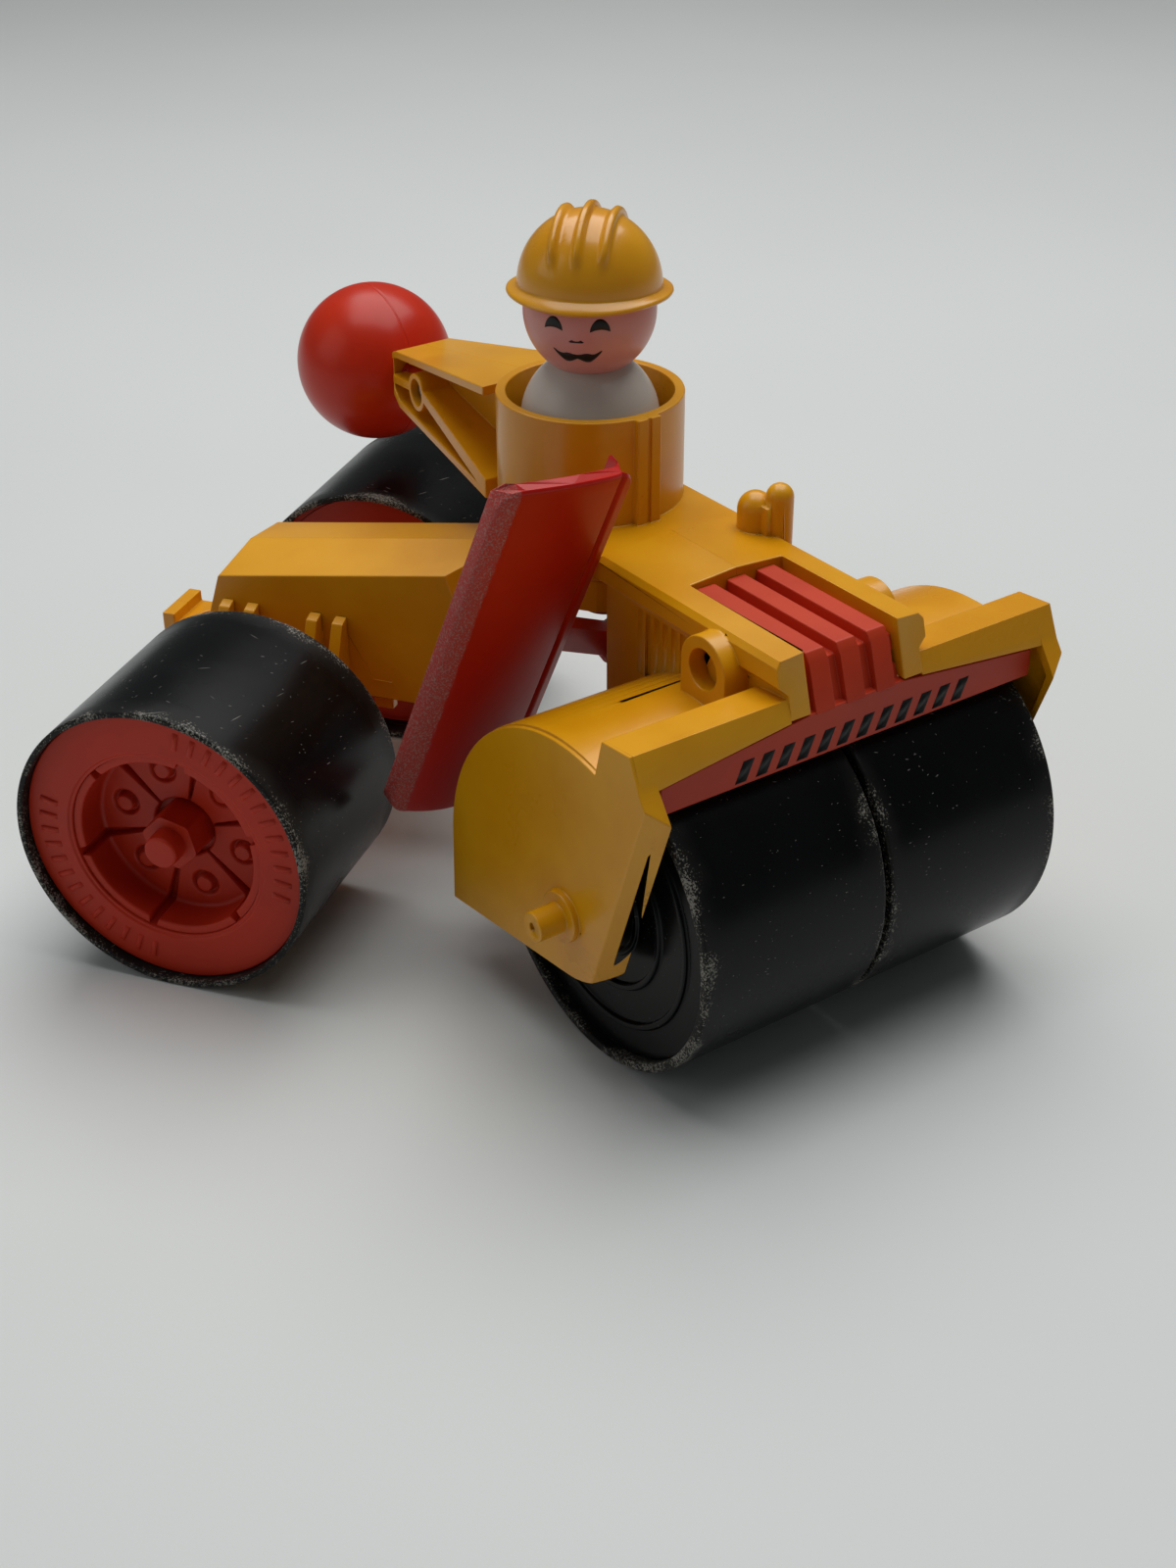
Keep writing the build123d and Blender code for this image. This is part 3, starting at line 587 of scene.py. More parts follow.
@dataclass(frozen=True)
class Plastic:
    """Moulded plastic with its age: tones, gloss, how much of each kind of wear it shows and how much shade is
    painted into its inner corners.
    """

    name: str
    colour: str
    deep: str
    slot: str
    roughness: float = 0.3
    coat: float = 0.2
    speckle: float = 0.0
    speckle_scale: float = 1500.0
    speckle_tone: str = "b8b4a8"
    hairlines: float = 0.0
    hairline_scale: float = 620.0
    hairline_tone: str = "c8c4ba"
    # amount and dark tone of the shade painted into inner corners
    grime: float = 0.0
    grime_tone: str = "2a1c08"
    rub: float = 0.0
    rub_tone: str = "3a2a10"
    ripple: float = 0.05
    glow: float = 0.0
    gloss: float = 0.5

    def make(self, fx: Effects) -> bpy.types.Material:
        """Build the material.

        Args:
            fx: The shared shader groups.

        Returns:
            The material.
        """
        mat, g, shader, at = new_material(self.name)
        ripple = g.add("ShaderNodeGroup", {"Vector": at}, node_tree=fx.ripple)
        cloud = g.ramp(ripple.outputs["Cloud"], 0.3, 0.7)
        look = Look(g.mix(cloud, tone(self.deep), tone(self.colour)), g.plus(self.roughness, cloud, 0.07),
                    g.times(ripple.outputs["Height"], self.ripple))
        layers = (
            # the first layer paints shade into inner corners; the other three are speckle, hairline scratches
            # and rubbed edges
            (fx.grime, "Amount", self.grime, {}, self.grime_tone, 0.35, 0.0),
            (fx.speckle, "Coverage", self.speckle, {"Scale": self.speckle_scale}, self.speckle_tone, 0.3, 0.02),
            (fx.hairlines, "Amount", self.hairlines, {"Scale": self.hairline_scale}, self.hairline_tone, 0.25,
             -0.06),
            (fx.rub, "Amount", self.rub, {}, self.rub_tone, 0.3, -0.03),
        )
        for group, key, amount, more, shade, dull, depth in layers:
            if not amount:
                continue
            inputs = {"Vector": at, key: amount, **more}
            mask = g.add("ShaderNodeGroup", inputs, node_tree=group).outputs["Mask"]
            look.colour = g.mix(mask, look.colour, tone(shade))
            look.rough = g.plus(look.rough, mask, dull, clamp=True)
            if depth:
                look.height = g.plus(look.height, mask, depth)
        self.wear(g, at, look, fx)
        g.wire(shader, {"Base Color": look.colour, "Roughness": look.rough,
                        "Normal": g.bump(look.height, 0.0004, 0.6), "IOR": 1.47,
                        "Specular IOR Level": self.gloss, "Coat Weight": self.coat, "Coat Roughness": 0.12})
        if self.glow:
            g.wire(shader, {"Subsurface Weight": self.glow, "Subsurface Scale": 1.0,
                            "Subsurface Radius": (0.0012, 0.0007, 0.0004)})
        return mat

    def wear(self, g: Graph, at: Value, look: Look, fx: Effects) -> None:
        """Add the wear of one kind of finish to the look; plain plastic has none."""


@dataclass(frozen=True)
class WornEnds(Plastic):
    """Plastic that is scuffed towards the ends of a roller: the speckle thickens near a few planes."""

    normal: tuple[float, float, float] = (0.0, 1.0, 0.0)
    planes: tuple[float, ...] = ()
    reach: float = 6.0 * MM
    scuff_scale: float = 2300.0

    def wear(self, g: Graph, at: Value, look: Look, fx: Effects) -> None:
        """Add pale scuffing whose coverage falls off with the distance from each plane."""
        along = g.dot(at, self.normal)
        wander = g.times(g.less(g.noise(at, 90.0, 2.0, 0.6), 0.5), self.reach * 1.5)
        near = g.largest([
            g.ramp(g.math("ADD", g.math("ABSOLUTE", g.less(along, plane)), wander), self.reach, 0.0)
            for plane in self.planes])
        inputs = {"Vector": at, "Scale": self.scuff_scale, "Coverage": g.times(near, 0.9)}
        dots = g.add("ShaderNodeGroup", inputs, node_tree=fx.speckle).outputs["Mask"]
        mask = g.math("ADD", g.times(g.times(dots, near), 0.75), g.times(near, 0.02), clamp=True)
        look.colour = g.mix(mask, look.colour, tone(self.speckle_tone))
        look.rough = g.plus(look.rough, near, 0.2, clamp=True)


@dataclass(frozen=True)
class WornBand(Plastic):
    """Plastic with one worn edge: beyond a plane its surface is rough and pale with grit."""

    normal: tuple[float, float, float] = (1.0, 0.0, 0.0)
    limit: float = 0.0
    band_tone: str = "b08a80"

    def wear(self, g: Graph, at: Value, look: Look, fx: Effects) -> None:
        """Add a pale, gritty band past the plane, with a ragged border."""
        ragged = g.times(g.less(g.noise(at, 500.0, 3.0, 0.7), 0.5), 0.0012)
        band = g.ramp(g.less(g.math("ADD", g.dot(at, self.normal), ragged), self.limit), 0.0, 0.0005)
        grit = g.ramp(g.noise(at, 2600.0, 2.0, 0.6), 0.48, 0.62)
        mask = g.times(band, g.math("ADD", g.times(grit, 0.6), 0.16))
        look.colour = g.mix(mask, look.colour, tone(self.band_tone))
        look.rough = g.plus(look.rough, band, 0.3, clamp=True)
        look.height = g.plus(look.height, g.times(band, grit), 0.5)


@dataclass(frozen=True)
class Steel:
    """Plated steel with fine drawing lines and small rust spots."""

    name: str = "plated_steel"

    def make(self) -> bpy.types.Material:
        """Build the material."""
        mat, g, shader, at = new_material(self.name)
        stretched = g.add("ShaderNodeMapping", {"Vector": at, "Scale": (1.0, 0.08, 1.0)}).outputs[0]
        lines = g.noise(stretched, 3000.0, 3.0, 0.6)
        spots = g.ramp(g.noise(at, 900.0, 4.0, 0.7), 0.62, 0.7)
        plain = g.mix(g.ramp(lines, 0.3, 0.7), tone("8f9092"), tone("b9babb"))
        rough = g.math("ADD", g.times(lines, 0.25), g.times(spots, 0.3))
        g.wire(shader, {"Base Color": g.mix(spots, plain, tone("6a4a34")),
                        "Roughness": g.math("ADD", rough, 0.18), "Metallic": g.less(1.0, g.times(spots, 0.6)),
                        "Normal": g.bump(lines, 0.00004, 0.4)})
        return mat


def dress(obj: bpy.types.Object, material: bpy.types.Material) -> None:
    """Give an object one material."""
    if not obj.material_slots:
        obj.data.materials.append(material)
    for place in obj.material_slots:
        place.material = material


def commit(obj: bpy.types.Object, body: str, finish: "Finish", *nodes: str) -> bpy.types.Object:
    """Dress a new piece, put it on its body and hide the CAD nodes that it replaces.

    Args:
        obj: The piece.
        body: The CAD body that it rides on.
        finish: Its finish and material slot.
        nodes: CAD nodes that it replaces.

    Returns:
        The piece.
    """
    dress(obj, finish.material)
    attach(obj, body)
    if nodes:
        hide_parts(*nodes)
    LOG.info("%s: %d faces on %s", obj.name, len(obj.data.polygons), body)
    return obj


@dataclass(frozen=True)
class Finish:
    """A built material and the record's slot that it belongs to."""

    material: bpy.types.Material
    slot: str


class Palette:
    """Every finish of the toy, built once."""

    def __init__(self, front: Axes, rear: Axes, blade: Axes, blade_limit: float) -> None:
        """Build the finishes; rollers and blade need their places for their wear."""
        self.fx = Effects()
        # each family paints shade into inner corners with a dark tone; the hat and the ball change how much
        yellow = dict(colour="e2a00a", deep="d89307", slot="yellow_plastic", roughness=0.27, coat=0.12,
                      grime=0.75, grime_tone="3a2406", rub=0.55, hairlines=0.12, hairline_tone="a87a20",
                      ripple=0.06, glow=0.06)
        red = dict(colour="c22e10", deep="b4280c", slot="orange_plastic", roughness=0.42, coat=0.0, gloss=0.35,
                   grime=0.6, grime_tone="3a0a04", hairlines=0.05, hairline_tone="d8806c", ripple=0.05,
                   glow=0.05)
        black = dict(colour="0b0c0d", deep="070808", slot="black_plastic", roughness=0.22, coat=0.0, gloss=0.18,
                     speckle=0.2, speckle_tone="9a968c", hairlines=0.6, hairline_scale=700.0,
                     hairline_tone="77756f", ripple=0.08)
        self.yellow = self.plastic("yellow_moulding", yellow)
        self.hat = self.plastic("yellow_hat", yellow, rub=0.0, grime=0.45, coat=0.35)
        self.orange = self.plastic("orange_hub", red)
        self.grille = self.plastic("orange_grille", red, colour="c63c1c", deep="b83417")
        self.ball = self.plastic("orange_ball", red, colour="c82c0a", deep="bd2608", roughness=0.3, coat=0.04,
                                 grime=0.0)
        self.red = self.plastic("red_blade", red, WornBand, colour="c21404", deep="b41003", slot="red_plastic",
                                roughness=0.36, coat=0.05, normal=tuple((-blade.rows[0]).tolist()),
                                limit=blade_limit)
        self.black = self.plastic("black_disc", black)
        self.tyre = {}
        for side, name in SIDES:
            ends = [rear.place(np.array((0.0, side * y, 0.0))) @ rear.rows[1] for y in (76.0, 30.65)]
            self.tyre[side] = self.plastic(
                f"black_roller_{name}", black, WornEnds, normal=tuple(rear.rows[1].tolist()),
                planes=tuple(float(end) for end in ends))
        self.drum = self.plastic("black_drum", black, WornEnds, normal=(0.0, 1.0, 0.0), planes=tuple(
            float(front.origin[1]) + y * MM for y in (-43.1, 0.0, 43.1)))
        self.white = self.plastic("white_body", colour="dcd6cc", deep="d2ccc0", slot="white_plastic",
                                  speckle=0.1, speckle_tone="a09888", glow=0.2)
        self.skin = self.plastic("skin_head", colour="e2a096", deep="da948a", slot="skin_plastic",
                                 roughness=0.36, coat=0.1, glow=0.2, ripple=0.03)
        self.ink = self.plastic("black_ink", colour="0d0c0c", deep="070606", slot="black_plastic",
                                roughness=0.4, coat=0.0, ripple=0.02)
        self.steel = Finish(Steel().make(), "steel")

    def plastic(self, name: str, base: dict | None = None, kind: type[Plastic] = Plastic,
                **own: Value) -> Finish:
        """Build one plastic finish: a family's values with the finish's own over them."""
        finish = kind(name, **{**(base or {}), **own})
        return Finish(finish.make(self.fx), finish.slot)


# ---------------------------------------------------------------- front frame
@dataclass
class Mouldings:
    """The yellow shells and the slotted grille: copies of the CAD shapes with softened edges."""

    front: Axes
    rear: Axes
    rounding: float = 0.3
    bar_count: int = 12
    bar_pitch: float = 4.7
    bar_pitch: float = 4.7
    bar_width: float = 2.5
    bar_slant: float = 0.9
    bar_low: float = 65.4
    bar_high: float = 69.6
    bar_face: float = 21.75
    bar_dip: float = 0.2

    def build(self, colours: Palette) -> None:
        """Make and dress the shells, the grille and the dark bars on its band."""
        for side in ("left", "right"):
            for body, seam in (("front", self.front), ("rear", self.rear)):
                piece = moulded_copy(f"{body}_shell_{side}", f"{body}_moulding_{side}", self.rounding, seam)
                commit(piece, f"{body}_frame", colours.yellow)
        commit(moulded_copy("grille_insert", "grille", self.rounding), "front_frame", colours.grille)
        commit(self.bars(), "front_frame", colours.ink)

    def bars(self) -> bpy.types.Object:
        """Slanted bars on the band: y = centre + pitch * n + half width * u + slant * v, z from low to high
        with v, and x just proud of the band except at the rim, which dips into it."""
        u, v = np.meshgrid(np.array((-1.0, -1.0, 1.0, 1.0)), np.array((-1.0, -1.0, 1.0, 1.0)))
        rim = np.ones((4, 4))
        rim[1:3, 1:3] = 0.0
        n = (np.arange(self.bar_count) - (self.bar_count - 1) / 2)[:, None, None]
        y = self.bar_pitch * n + self.bar_width / 2 * u + self.bar_slant * v
        z = (self.bar_low + self.bar_high) / 2 + (self.bar_high - self.bar_low) / 2 * v + 0 * n
        x = self.bar_face - self.bar_dip * rim + 0 * n
        points = self.front.place(np.stack([x, y, z], -1))
        behind = self.front.place(np.array((0.0, 0.0, 67.0)))
        return surface("grille_bars", points, closed=False, away_from=behind)


def across_axes(centre: np.ndarray) -> Axes:
    """Axes at a point in metres whose first direction runs across the toy."""
    return Axes(centre, np.array(((0.0, 1.0, 0.0), (1.0, 0.0, 0.0), (0.0, 0.0, -1.0))))


@dataclass
class BallKnob:
    """Ball on the end of the boom, with a parting groove, on a short stem."""

    stem: float = 3.2
    groove: float = 0.16
    groove_angle: float = 0.010
    rivet_gap: float = 4.0

    def build(self, colours: Palette) -> None:
        """Ball radius from the node's box; profile radius = R sin(a) less a narrow groove at the middle."""
        low, high = (np.array(corner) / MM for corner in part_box("ball_handle"))
        radius = (high[1] - low[1]) / 2
        centre = np.array((low[0] + radius, (low[1] + high[1]) / 2, (low[2] + high[2]) / 2)) * MM
        around = np.unique(np.r_[np.linspace(0, pi, 97), pi / 2 + np.linspace(-0.03, 0.03, 9)])
        dip = self.groove * np.exp(-((around - pi / 2) / self.groove_angle) ** 2)
        profile = np.stack([-(radius - dip) * np.cos(around), (radius - dip) * np.sin(around)], 1)
        ball = turned("ball", across_axes(centre), profile, 128, ring=False)
        commit(ball, "front_frame", colours.ball, "ball_handle")
        span = middle("boom_rivet") - centre
        length = float(np.linalg.norm(span)) / MM - self.rivet_gap
        along = span / np.linalg.norm(span)
        side = np.array((0.0, 1.0, 0.0))
        rod = rounded([(radius - 3.0, 0.0, 0.0), (radius - 3.0, self.stem + 2.4, 0.0),
                       (radius + 1.6, self.stem + 1.1, 1.2), (radius + 2.2, self.stem, 0.6),
                       (length, self.stem, 0.4), (length, 0.0, 0.0)], ring=False)
        axes = Axes(centre, np.array((along, side, np.cross(along, side))))
        commit(turned("ball_stem", axes, rod, 64, ring=False), "front_frame", colours.ball)


# ---------------------------------------------------------------- drums and rollers
@dataclass
class DrumPair:
    """The two halves of the front drum: a rounded sleeve and an outer disc with raised rings."""

    front: Axes
    radius: float = 34.2
    wall: float = 2.0
    inner: float = 0.7
    outer: float = 43.1
    bore: float = 2.08
    soft: float = 0.7
    rings: tuple[float, ...] = (26.0, 18.0, 11.0)

    def build(self, colours: Palette) -> None:
        """Make both halves; the front axes stand below the drum's axis."""
        for side, name in SIDES:
            axes = axle_axes(self.front, 0.0, self.radius, side)
            inside = self.radius - self.wall
            sleeve = rounded([(self.inner, self.radius, self.soft), (self.outer, self.radius, self.soft),
                              (self.outer, inside, 0.5), (self.inner, inside, 0.3)])
            commit(turned(f"drum_roller_{name}", axes, sleeve, 192), f"drum_{name}", colours.drum,
                   f"drum_sleeve_{name}")
            commit(turned(f"drum_face_{name}", axes, self.disc(), 160), f"drum_{name}", colours.black,
                   f"drum_outer_disc_{name}")
            dress(frame["nodes"][f"drum_inner_disc_{name}"], colours.black.material)

    def disc(self) -> np.ndarray:
        """Closed profile of the outer disc: hub, three raised rings and a rim."""
        face, hub, rim = self.outer - 2.2, self.outer + 0.6, self.radius - self.wall - 0.02
        line = [(face, rim, 0.2)]
        for ring in self.rings:
            line += [(face, ring + 0.3, 0.3), (face + 0.8, ring, 0.3), (face + 0.8, ring - 1.0, 0.3),
                     (face, ring - 1.3, 0.3)]
        line += [(face, 5.0, 0.8), (hub, 4.6, 0.4), (hub, self.bore, 0.2), (face - 15.8, self.bore, 0.1),
                 (face - 15.8, 5.0, 0.3), (face - 2.2, 5.0, 0.6), (face - 2.2, rim, 0.2)]
        return rounded(line, 5)


@dataclass
class RearRoller:
    """A rear roller: thin tyre, dished hub with six pads and studs, hexagon boss and end cap."""

    rear: Axes
    side: int
    name: str
    axle: float = -67.3
    radius: float = 31.6
    tyre: float = 1.3
    inner: float = 30.65
    outer: float = 76.0
    face: float = 73.6
    dish: float = 20.6
    floor: float = 63.4
    pad: float = 1.7
    pad_wall: float = 18.8
    stud_at: float = 13.2

    def build(self, colours: Palette) -> None:
        """Make the tyre, hub, pads, boss, cap and marks of this roller."""
        axes = axle_axes(self.rear, self.axle, self.radius, self.side)
        rim, body = self.radius - self.tyre, f"wheel_{self.name}"
        shell = rounded([(self.inner, self.radius, 0.6), (self.outer, self.radius, 0.55),
                         (self.outer, rim, 0.4), (self.inner, rim, 0.3)])
        commit(turned(f"roller_tyre_{self.name}", axes, shell, 192), body, colours.tyre[self.side],
               f"rear_tyre_{self.name}")
        hub = turned(f"roller_hub_{self.name}", axes, self.hub_profile(rim - 0.04), 160)
        commit(hub, body, colours.orange, f"rear_hub_{self.name}")
        for piece in (self.pads(axes), self.hexagon(axes), self.marks(axes)):
            commit(piece, body, colours.orange)
        cap = rounded([(71.0, 0.0, 0.0), (71.0, 3.6, 0.1), (self.outer - 0.5, 3.5, 0.7),
                       (self.outer - 0.4, 0.0, 0.0)], 8, ring=False)
        commit(turned(f"roller_cap_{self.name}", axes, cap, 64, ring=False), "rear_frame", colours.orange,
               f"axle_cap_{self.name}")
        dress(frame["nodes"][f"rear_back_disc_{self.name}"], colours.orange.material)

    def hub_profile(self, rim: float) -> np.ndarray:
        """Closed profile: flange, dish wall, floor, central tube, and the sleeve behind the flange."""
        return rounded([
            (self.face, rim, 0.35), (self.face, self.dish + 0.9, 0.25),
            (self.face - 0.35, self.dish + 0.55, 0.2), (self.face - 0.35, self.dish, 0.5),
            (self.floor, self.dish - 0.8, 0.6), (self.floor, 5.0, 0.3),
            (70.6, 4.4, 0.3), (70.6, 3.64, 0.1), (66.0, 3.64, 0.1), (66.0, 2.08, 0.1), (31.1, 2.08, 0.1),
            (31.1, 5.0, 0.3), (self.floor - 2.0, 5.0, 0.5), (self.floor - 2.0, self.dish + 1.0, 0.5),
            (self.face - 2.0, self.dish + 1.8, 0.5), (self.face - 2.0, rim - 1.6, 0.5),
            (self.inner + 6.0, rim - 1.6, 0.3), (self.inner + 6.0, rim, 0.3)], 5)

    def pads(self, axes: Axes) -> bpy.types.Object:
        """Six fan-shaped pads that line the dish floor and wall.

        A row runs from the boss along the floor and up the wall. Each point is the base point there plus the
        pad's thickness times a factor that falls to 0 at the pad's sides. On the floor a stud stands in a round
        dimple: the thickness changes with the distance from the stud's middle.
        """
        run = np.linspace(6.9, self.pad_wall - 0.9, 46)
        corner = np.linspace(0, pi / 2, 6)[1:]
        climb = np.linspace(self.floor + self.pad + 1.2, self.face - 1.3, 8)[1:]
        lip = np.linspace(0, pi / 2, 4)[1:]
        top_r = np.r_[6.5, 6.6, run, run[-1] + 0.9 * np.sin(corner), np.full(7, self.pad_wall),
                      self.pad_wall + 0.4 * (1 - np.cos(lip)), self.dish - 0.15]
        top_h = np.r_[self.floor - 0.1, self.floor + self.pad - 0.35, np.full(46, self.floor + self.pad),
                      self.floor + self.pad + 0.9 * (1 - np.cos(corner)), climb,
                      climb[-1] + 0.4 * np.sin(lip), climb[-1] + 0.42]
        base_r = np.r_[6.5, 6.6, run, np.full(5, self.dish - 0.6), np.full(7, self.dish - 0.2),
                       np.full(3, self.dish - 0.1), self.dish - 0.05]
        base_h = np.where(np.arange(len(top_r)) < 50, self.floor - 0.1, top_h)
        half = radians(27.6)
        turn = np.concatenate([[-1.0, -0.997, -0.985, -0.965], np.linspace(-0.94, 0.94, 44),
                               [0.965, 0.985, 0.997, 1.0]])
        side = np.minimum(1.0, np.sqrt(np.clip((1 - np.abs(turn)) / 0.035, 0, 1)))
        angle = turn * half
        r = base_r[:, None] + (top_r - base_r)[:, None] * side[None, :]
        h = base_h[:, None] + (top_h - base_h)[:, None] * side[None, :]
        off = np.hypot(r * np.cos(angle) - self.stud_at, r * np.sin(angle))
        on_floor = (np.arange(len(top_r)) < 50)[:, None]
        step = lambda x: np.clip(x, 0, 1) ** 2 * (3 - 2 * np.clip(x, 0, 1))
        relief = -1.1 * step((3.1 - off) / 0.7) + 1.7 * step((2.1 - off) / 0.4)
        h = h + np.where(on_floor, relief * side[None, :], 0.0)
        turns = (np.arange(6) * pi / 3 + pi / 6 + 0.26)[:, None, None]
        fan = angle[None, None, :] + turns
        grid = np.stack([h + 0 * turns, r * np.cos(fan), r * np.sin(fan)], -1)
        point = axes.place(np.array((0.0, 0.0, 0.0)))
        return surface(f"roller_pads_{self.name}", axes.place(grid), closed=False, away_from=point)

    def hexagon(self, axes: Axes) -> bpy.types.Object:
        """Hexagon boss: radius = apothem / cos(angle within its sixth), softened at the corners, times a row
        factor that rounds the top edge."""
        angle = np.linspace(0, 2 * pi, 96, endpoint=False)
        within = (angle + pi / 6) % (pi / 3) - pi / 6
        shape = np.minimum(5.5 / np.cos(within), 6.15)
        rows = rounded([(self.floor - 0.2, 1.0, 0.0), (71.4, 0.95, 0.3), (71.4, 0.86, 0.03),
                        (71.4, 0.0, 0.0)], 5, ring=False)
        turned_by = angle[None, :] + 0.26
        r = rows[:, 1:2] * shape[None, :]
        grid = np.stack([rows[:, 0:1] + 0 * turned_by, r * np.cos(turned_by), r * np.sin(turned_by)], -1)
        return surface(f"roller_boss_{self.name}", axes.place(grid), wrap_cols=True, closed=False,
                       away_from=axes.place(np.array((self.floor - 8.0, 0.0, 0.0))))

    def marks(self, axes: Axes) -> bpy.types.Object:
        """Two rows of small raised bars on the flange: radius and angle run over each bar, and its height is
        0.45 inside and below the flange at its rim."""
        u = np.array((-1.0, -0.8, -0.4, 0.4, 0.8, 1.0))
        rise = np.array((-0.1, 0.3, 0.5, 0.5, 0.3, -0.1))
        du, dv = np.meshgrid(u, u)
        height = np.minimum(*np.meshgrid(rise, rise))
        bars = np.concatenate([np.arange(13) * 0.135 + start for start in (-0.25, pi - 0.25)])[:, None, None]
        r = 25.7 + 2.1 * dv + 0 * bars
        turn = bars + du * 0.62 / r
        grid = np.stack([self.face + height + 0 * bars, r * np.cos(turn), r * np.sin(turn)], -1)
        return surface(f"roller_marks_{self.name}", axes.place(grid), closed=False,
                       away_from=axes.place(np.array((0.0, 0.0, 0.0))))


# ---------------------------------------------------------------- blade
@dataclass
class Blade:
    """Scraper blade: a bowed board with a thick worn edge, a groove and a folded lip on the other edge."""

    axes: Axes
    half: float = 15.25
    end: float = 41.3
    bulge: float = 1.85
    corner: float = 3.0
    sag: float = 2.6
    thick: float = 3.0
    lip: float = 6.3

    def section(self) -> np.ndarray:
        """Closed section (across, through): the front face is sag * (1 - (h / half)^2) with a groove near the
        lip and a bevel at the worn edge, and the back face runs parallel to it."""
        h = np.concatenate([np.linspace(-1, -0.70, 8), np.linspace(-0.68, 0.60, 24),
                            np.linspace(0.62, 0.985, 30)])
        bow = self.sag * (1 - h ** 2)
        groove = -0.55 * np.exp(-((h - 0.77) / 0.028) ** 2) + 0.25 * np.clip((h - 0.8) / 0.05, 0, 1)
        worn = np.clip((-0.70 - h) / 0.3, 0, 1)
        front = np.stack([h * self.half, bow + groove + 0.9 * worn * (1 - worn)], 1)
        turn = np.linspace(0, pi / 2, 5)[1:]
        fold = np.stack([0.985 * self.half + 0.23 * np.sin(turn), front[-1, 1] - 0.6 * (1 - np.cos(turn))], 1)
        flange = np.array([(self.half, -2.0), (self.half, -self.lip + 0.5), (self.half - 0.4, -self.lip),
                           (self.half - 1.3, -self.lip), (self.half - 1.7, -self.lip + 0.4),
                           (self.half - 1.8, -3.6), (self.half - 3.0, -self.thick + 0.4)])
        back_h = np.linspace(0.78, -0.76, 24)
        back = np.stack([back_h * self.half, self.sag * (1 - back_h ** 2) - self.thick], 1)
        foot = np.array([(-0.79 * self.half, -2.2), (-0.85 * self.half, -2.8), (-0.97 * self.half, -3.4),
                         (-self.half, -2.9), (-self.half, -0.4)])
        return np.concatenate([front, fold, flange, back, foot])

    def board(self) -> np.ndarray:
        """The section carried along the length: at station s the point is s times the half length at that place
        across, end + bulge (1 - (h / half)^2) less the corner's rounding, and near each end the section shrinks
        towards its mid surface so that the rim is round."""
        section = self.section()
        h = section[:, 0]
        inset = np.clip(np.abs(h) - (self.half - self.corner), 0, self.corner)
        reach = self.end + self.bulge * (1 - (h / self.half) ** 2)
        reach -= self.corner - np.sqrt(np.maximum(self.corner ** 2 - inset ** 2, 0))
        depth = np.array((0.0, 0.06, 0.2, 0.45, 0.8))
        shrink = np.array((0.45, 0.7, 0.86, 0.96, 1.0))
        inner = np.linspace(-1, 1, 41)
        core = self.sag * (1 - (h / self.half) ** 2) - self.thick / 2
        ends = np.concatenate([depth[:-1], [0.8]]) / self.end
        stations = np.concatenate([-1 + ends, inner[1:-1] * (1 - 1.0 / self.end), (1 - ends)[::-1]])
        factor = np.concatenate([shrink, np.ones(39), shrink[::-1]])
        pull = (section[:, 1] - core)[None, :] * (1 - factor[:, None])
        through = section[None, :, 1] - np.clip(pull, -0.5, 0.5)
        across = h[None, :] * (1 - 0.012 * (1 - factor[:, None]))
        along = stations[:, None] * reach[None, :]
        return np.stack([across + 0 * along, along, through], -1)

    def build(self, colours: Palette) -> None:
        """Make the board and close its ends, and make and dress the pad and the arm behind it."""
        obj = surface("blade_board", self.axes.place(self.board()), wrap_cols=True, closed=False)
        bm = bmesh.new()
        bm.from_mesh(obj.data)
        bmesh.ops.holes_fill(bm, edges=[e for e in bm.edges if e.is_boundary], sides=0)
        bmesh.ops.recalc_face_normals(bm, faces=bm.faces)
        for face in bm.faces:
            face.smooth = len(face.verts) <= 4
        bm.to_mesh(obj.data)
        bm.free()
        commit(obj, "scraper", colours.red, "blade")
        commit(self.pad(), "scraper", colours.red)
        arm = moulded_copy("blade_arm", "blade_bracket", 0.35)
        commit(arm, "scraper", colours.red)

    def pad(self) -> bpy.types.Object:
        """Rounded block behind the board that the arm is screwed to: a superellipse of the fourth power."""
        turn = np.linspace(0, 2 * pi, 64, endpoint=False)
        x = 6.5 * np.sign(np.cos(turn)) * np.abs(np.cos(turn)) ** 0.35
        y = 10.0 * np.sign(np.sin(turn)) * np.abs(np.sin(turn)) ** 0.35
        rows = np.array(((0.0, -5.15), (0.93, -5.15), (1.0, -4.7), (1.0, 0.0), (0.0, 0.0)))
        grid = np.stack([rows[:, 0:1] * x[None], rows[:, 0:1] * y[None], rows[:, 1:2] + 0 * x[None]], -1)
        return surface("blade_pad", self.axes.place(grid), wrap_cols=True)


def blade_axes() -> Axes:
    """Axes in the middle of the blade: across its height, along its length and through it."""
    pivot = joint("blade_swing")
    through = np.array(pivot["axis"], float)
    across = np.array((0.0, 1.0, 0.0))
    up = np.cross(through, across)
    lean = radians(-7.2)
    high = cos(lean) * across + sin(lean) * up
    centre = np.array(pivot["pos_m"]) + (across * -36.5 + up * 18.6) * MM
    return Axes(centre, np.array((high, np.cross(through, high), through)))


# ---------------------------------------------------------------- driver
class Feature(Enum):
    """Printed features of the doll's face."""

    RIGHT_EYE = "right_eye"
    LEFT_EYE = "left_eye"
    NOSE = "nose"
    MOUSTACHE = "moustache"


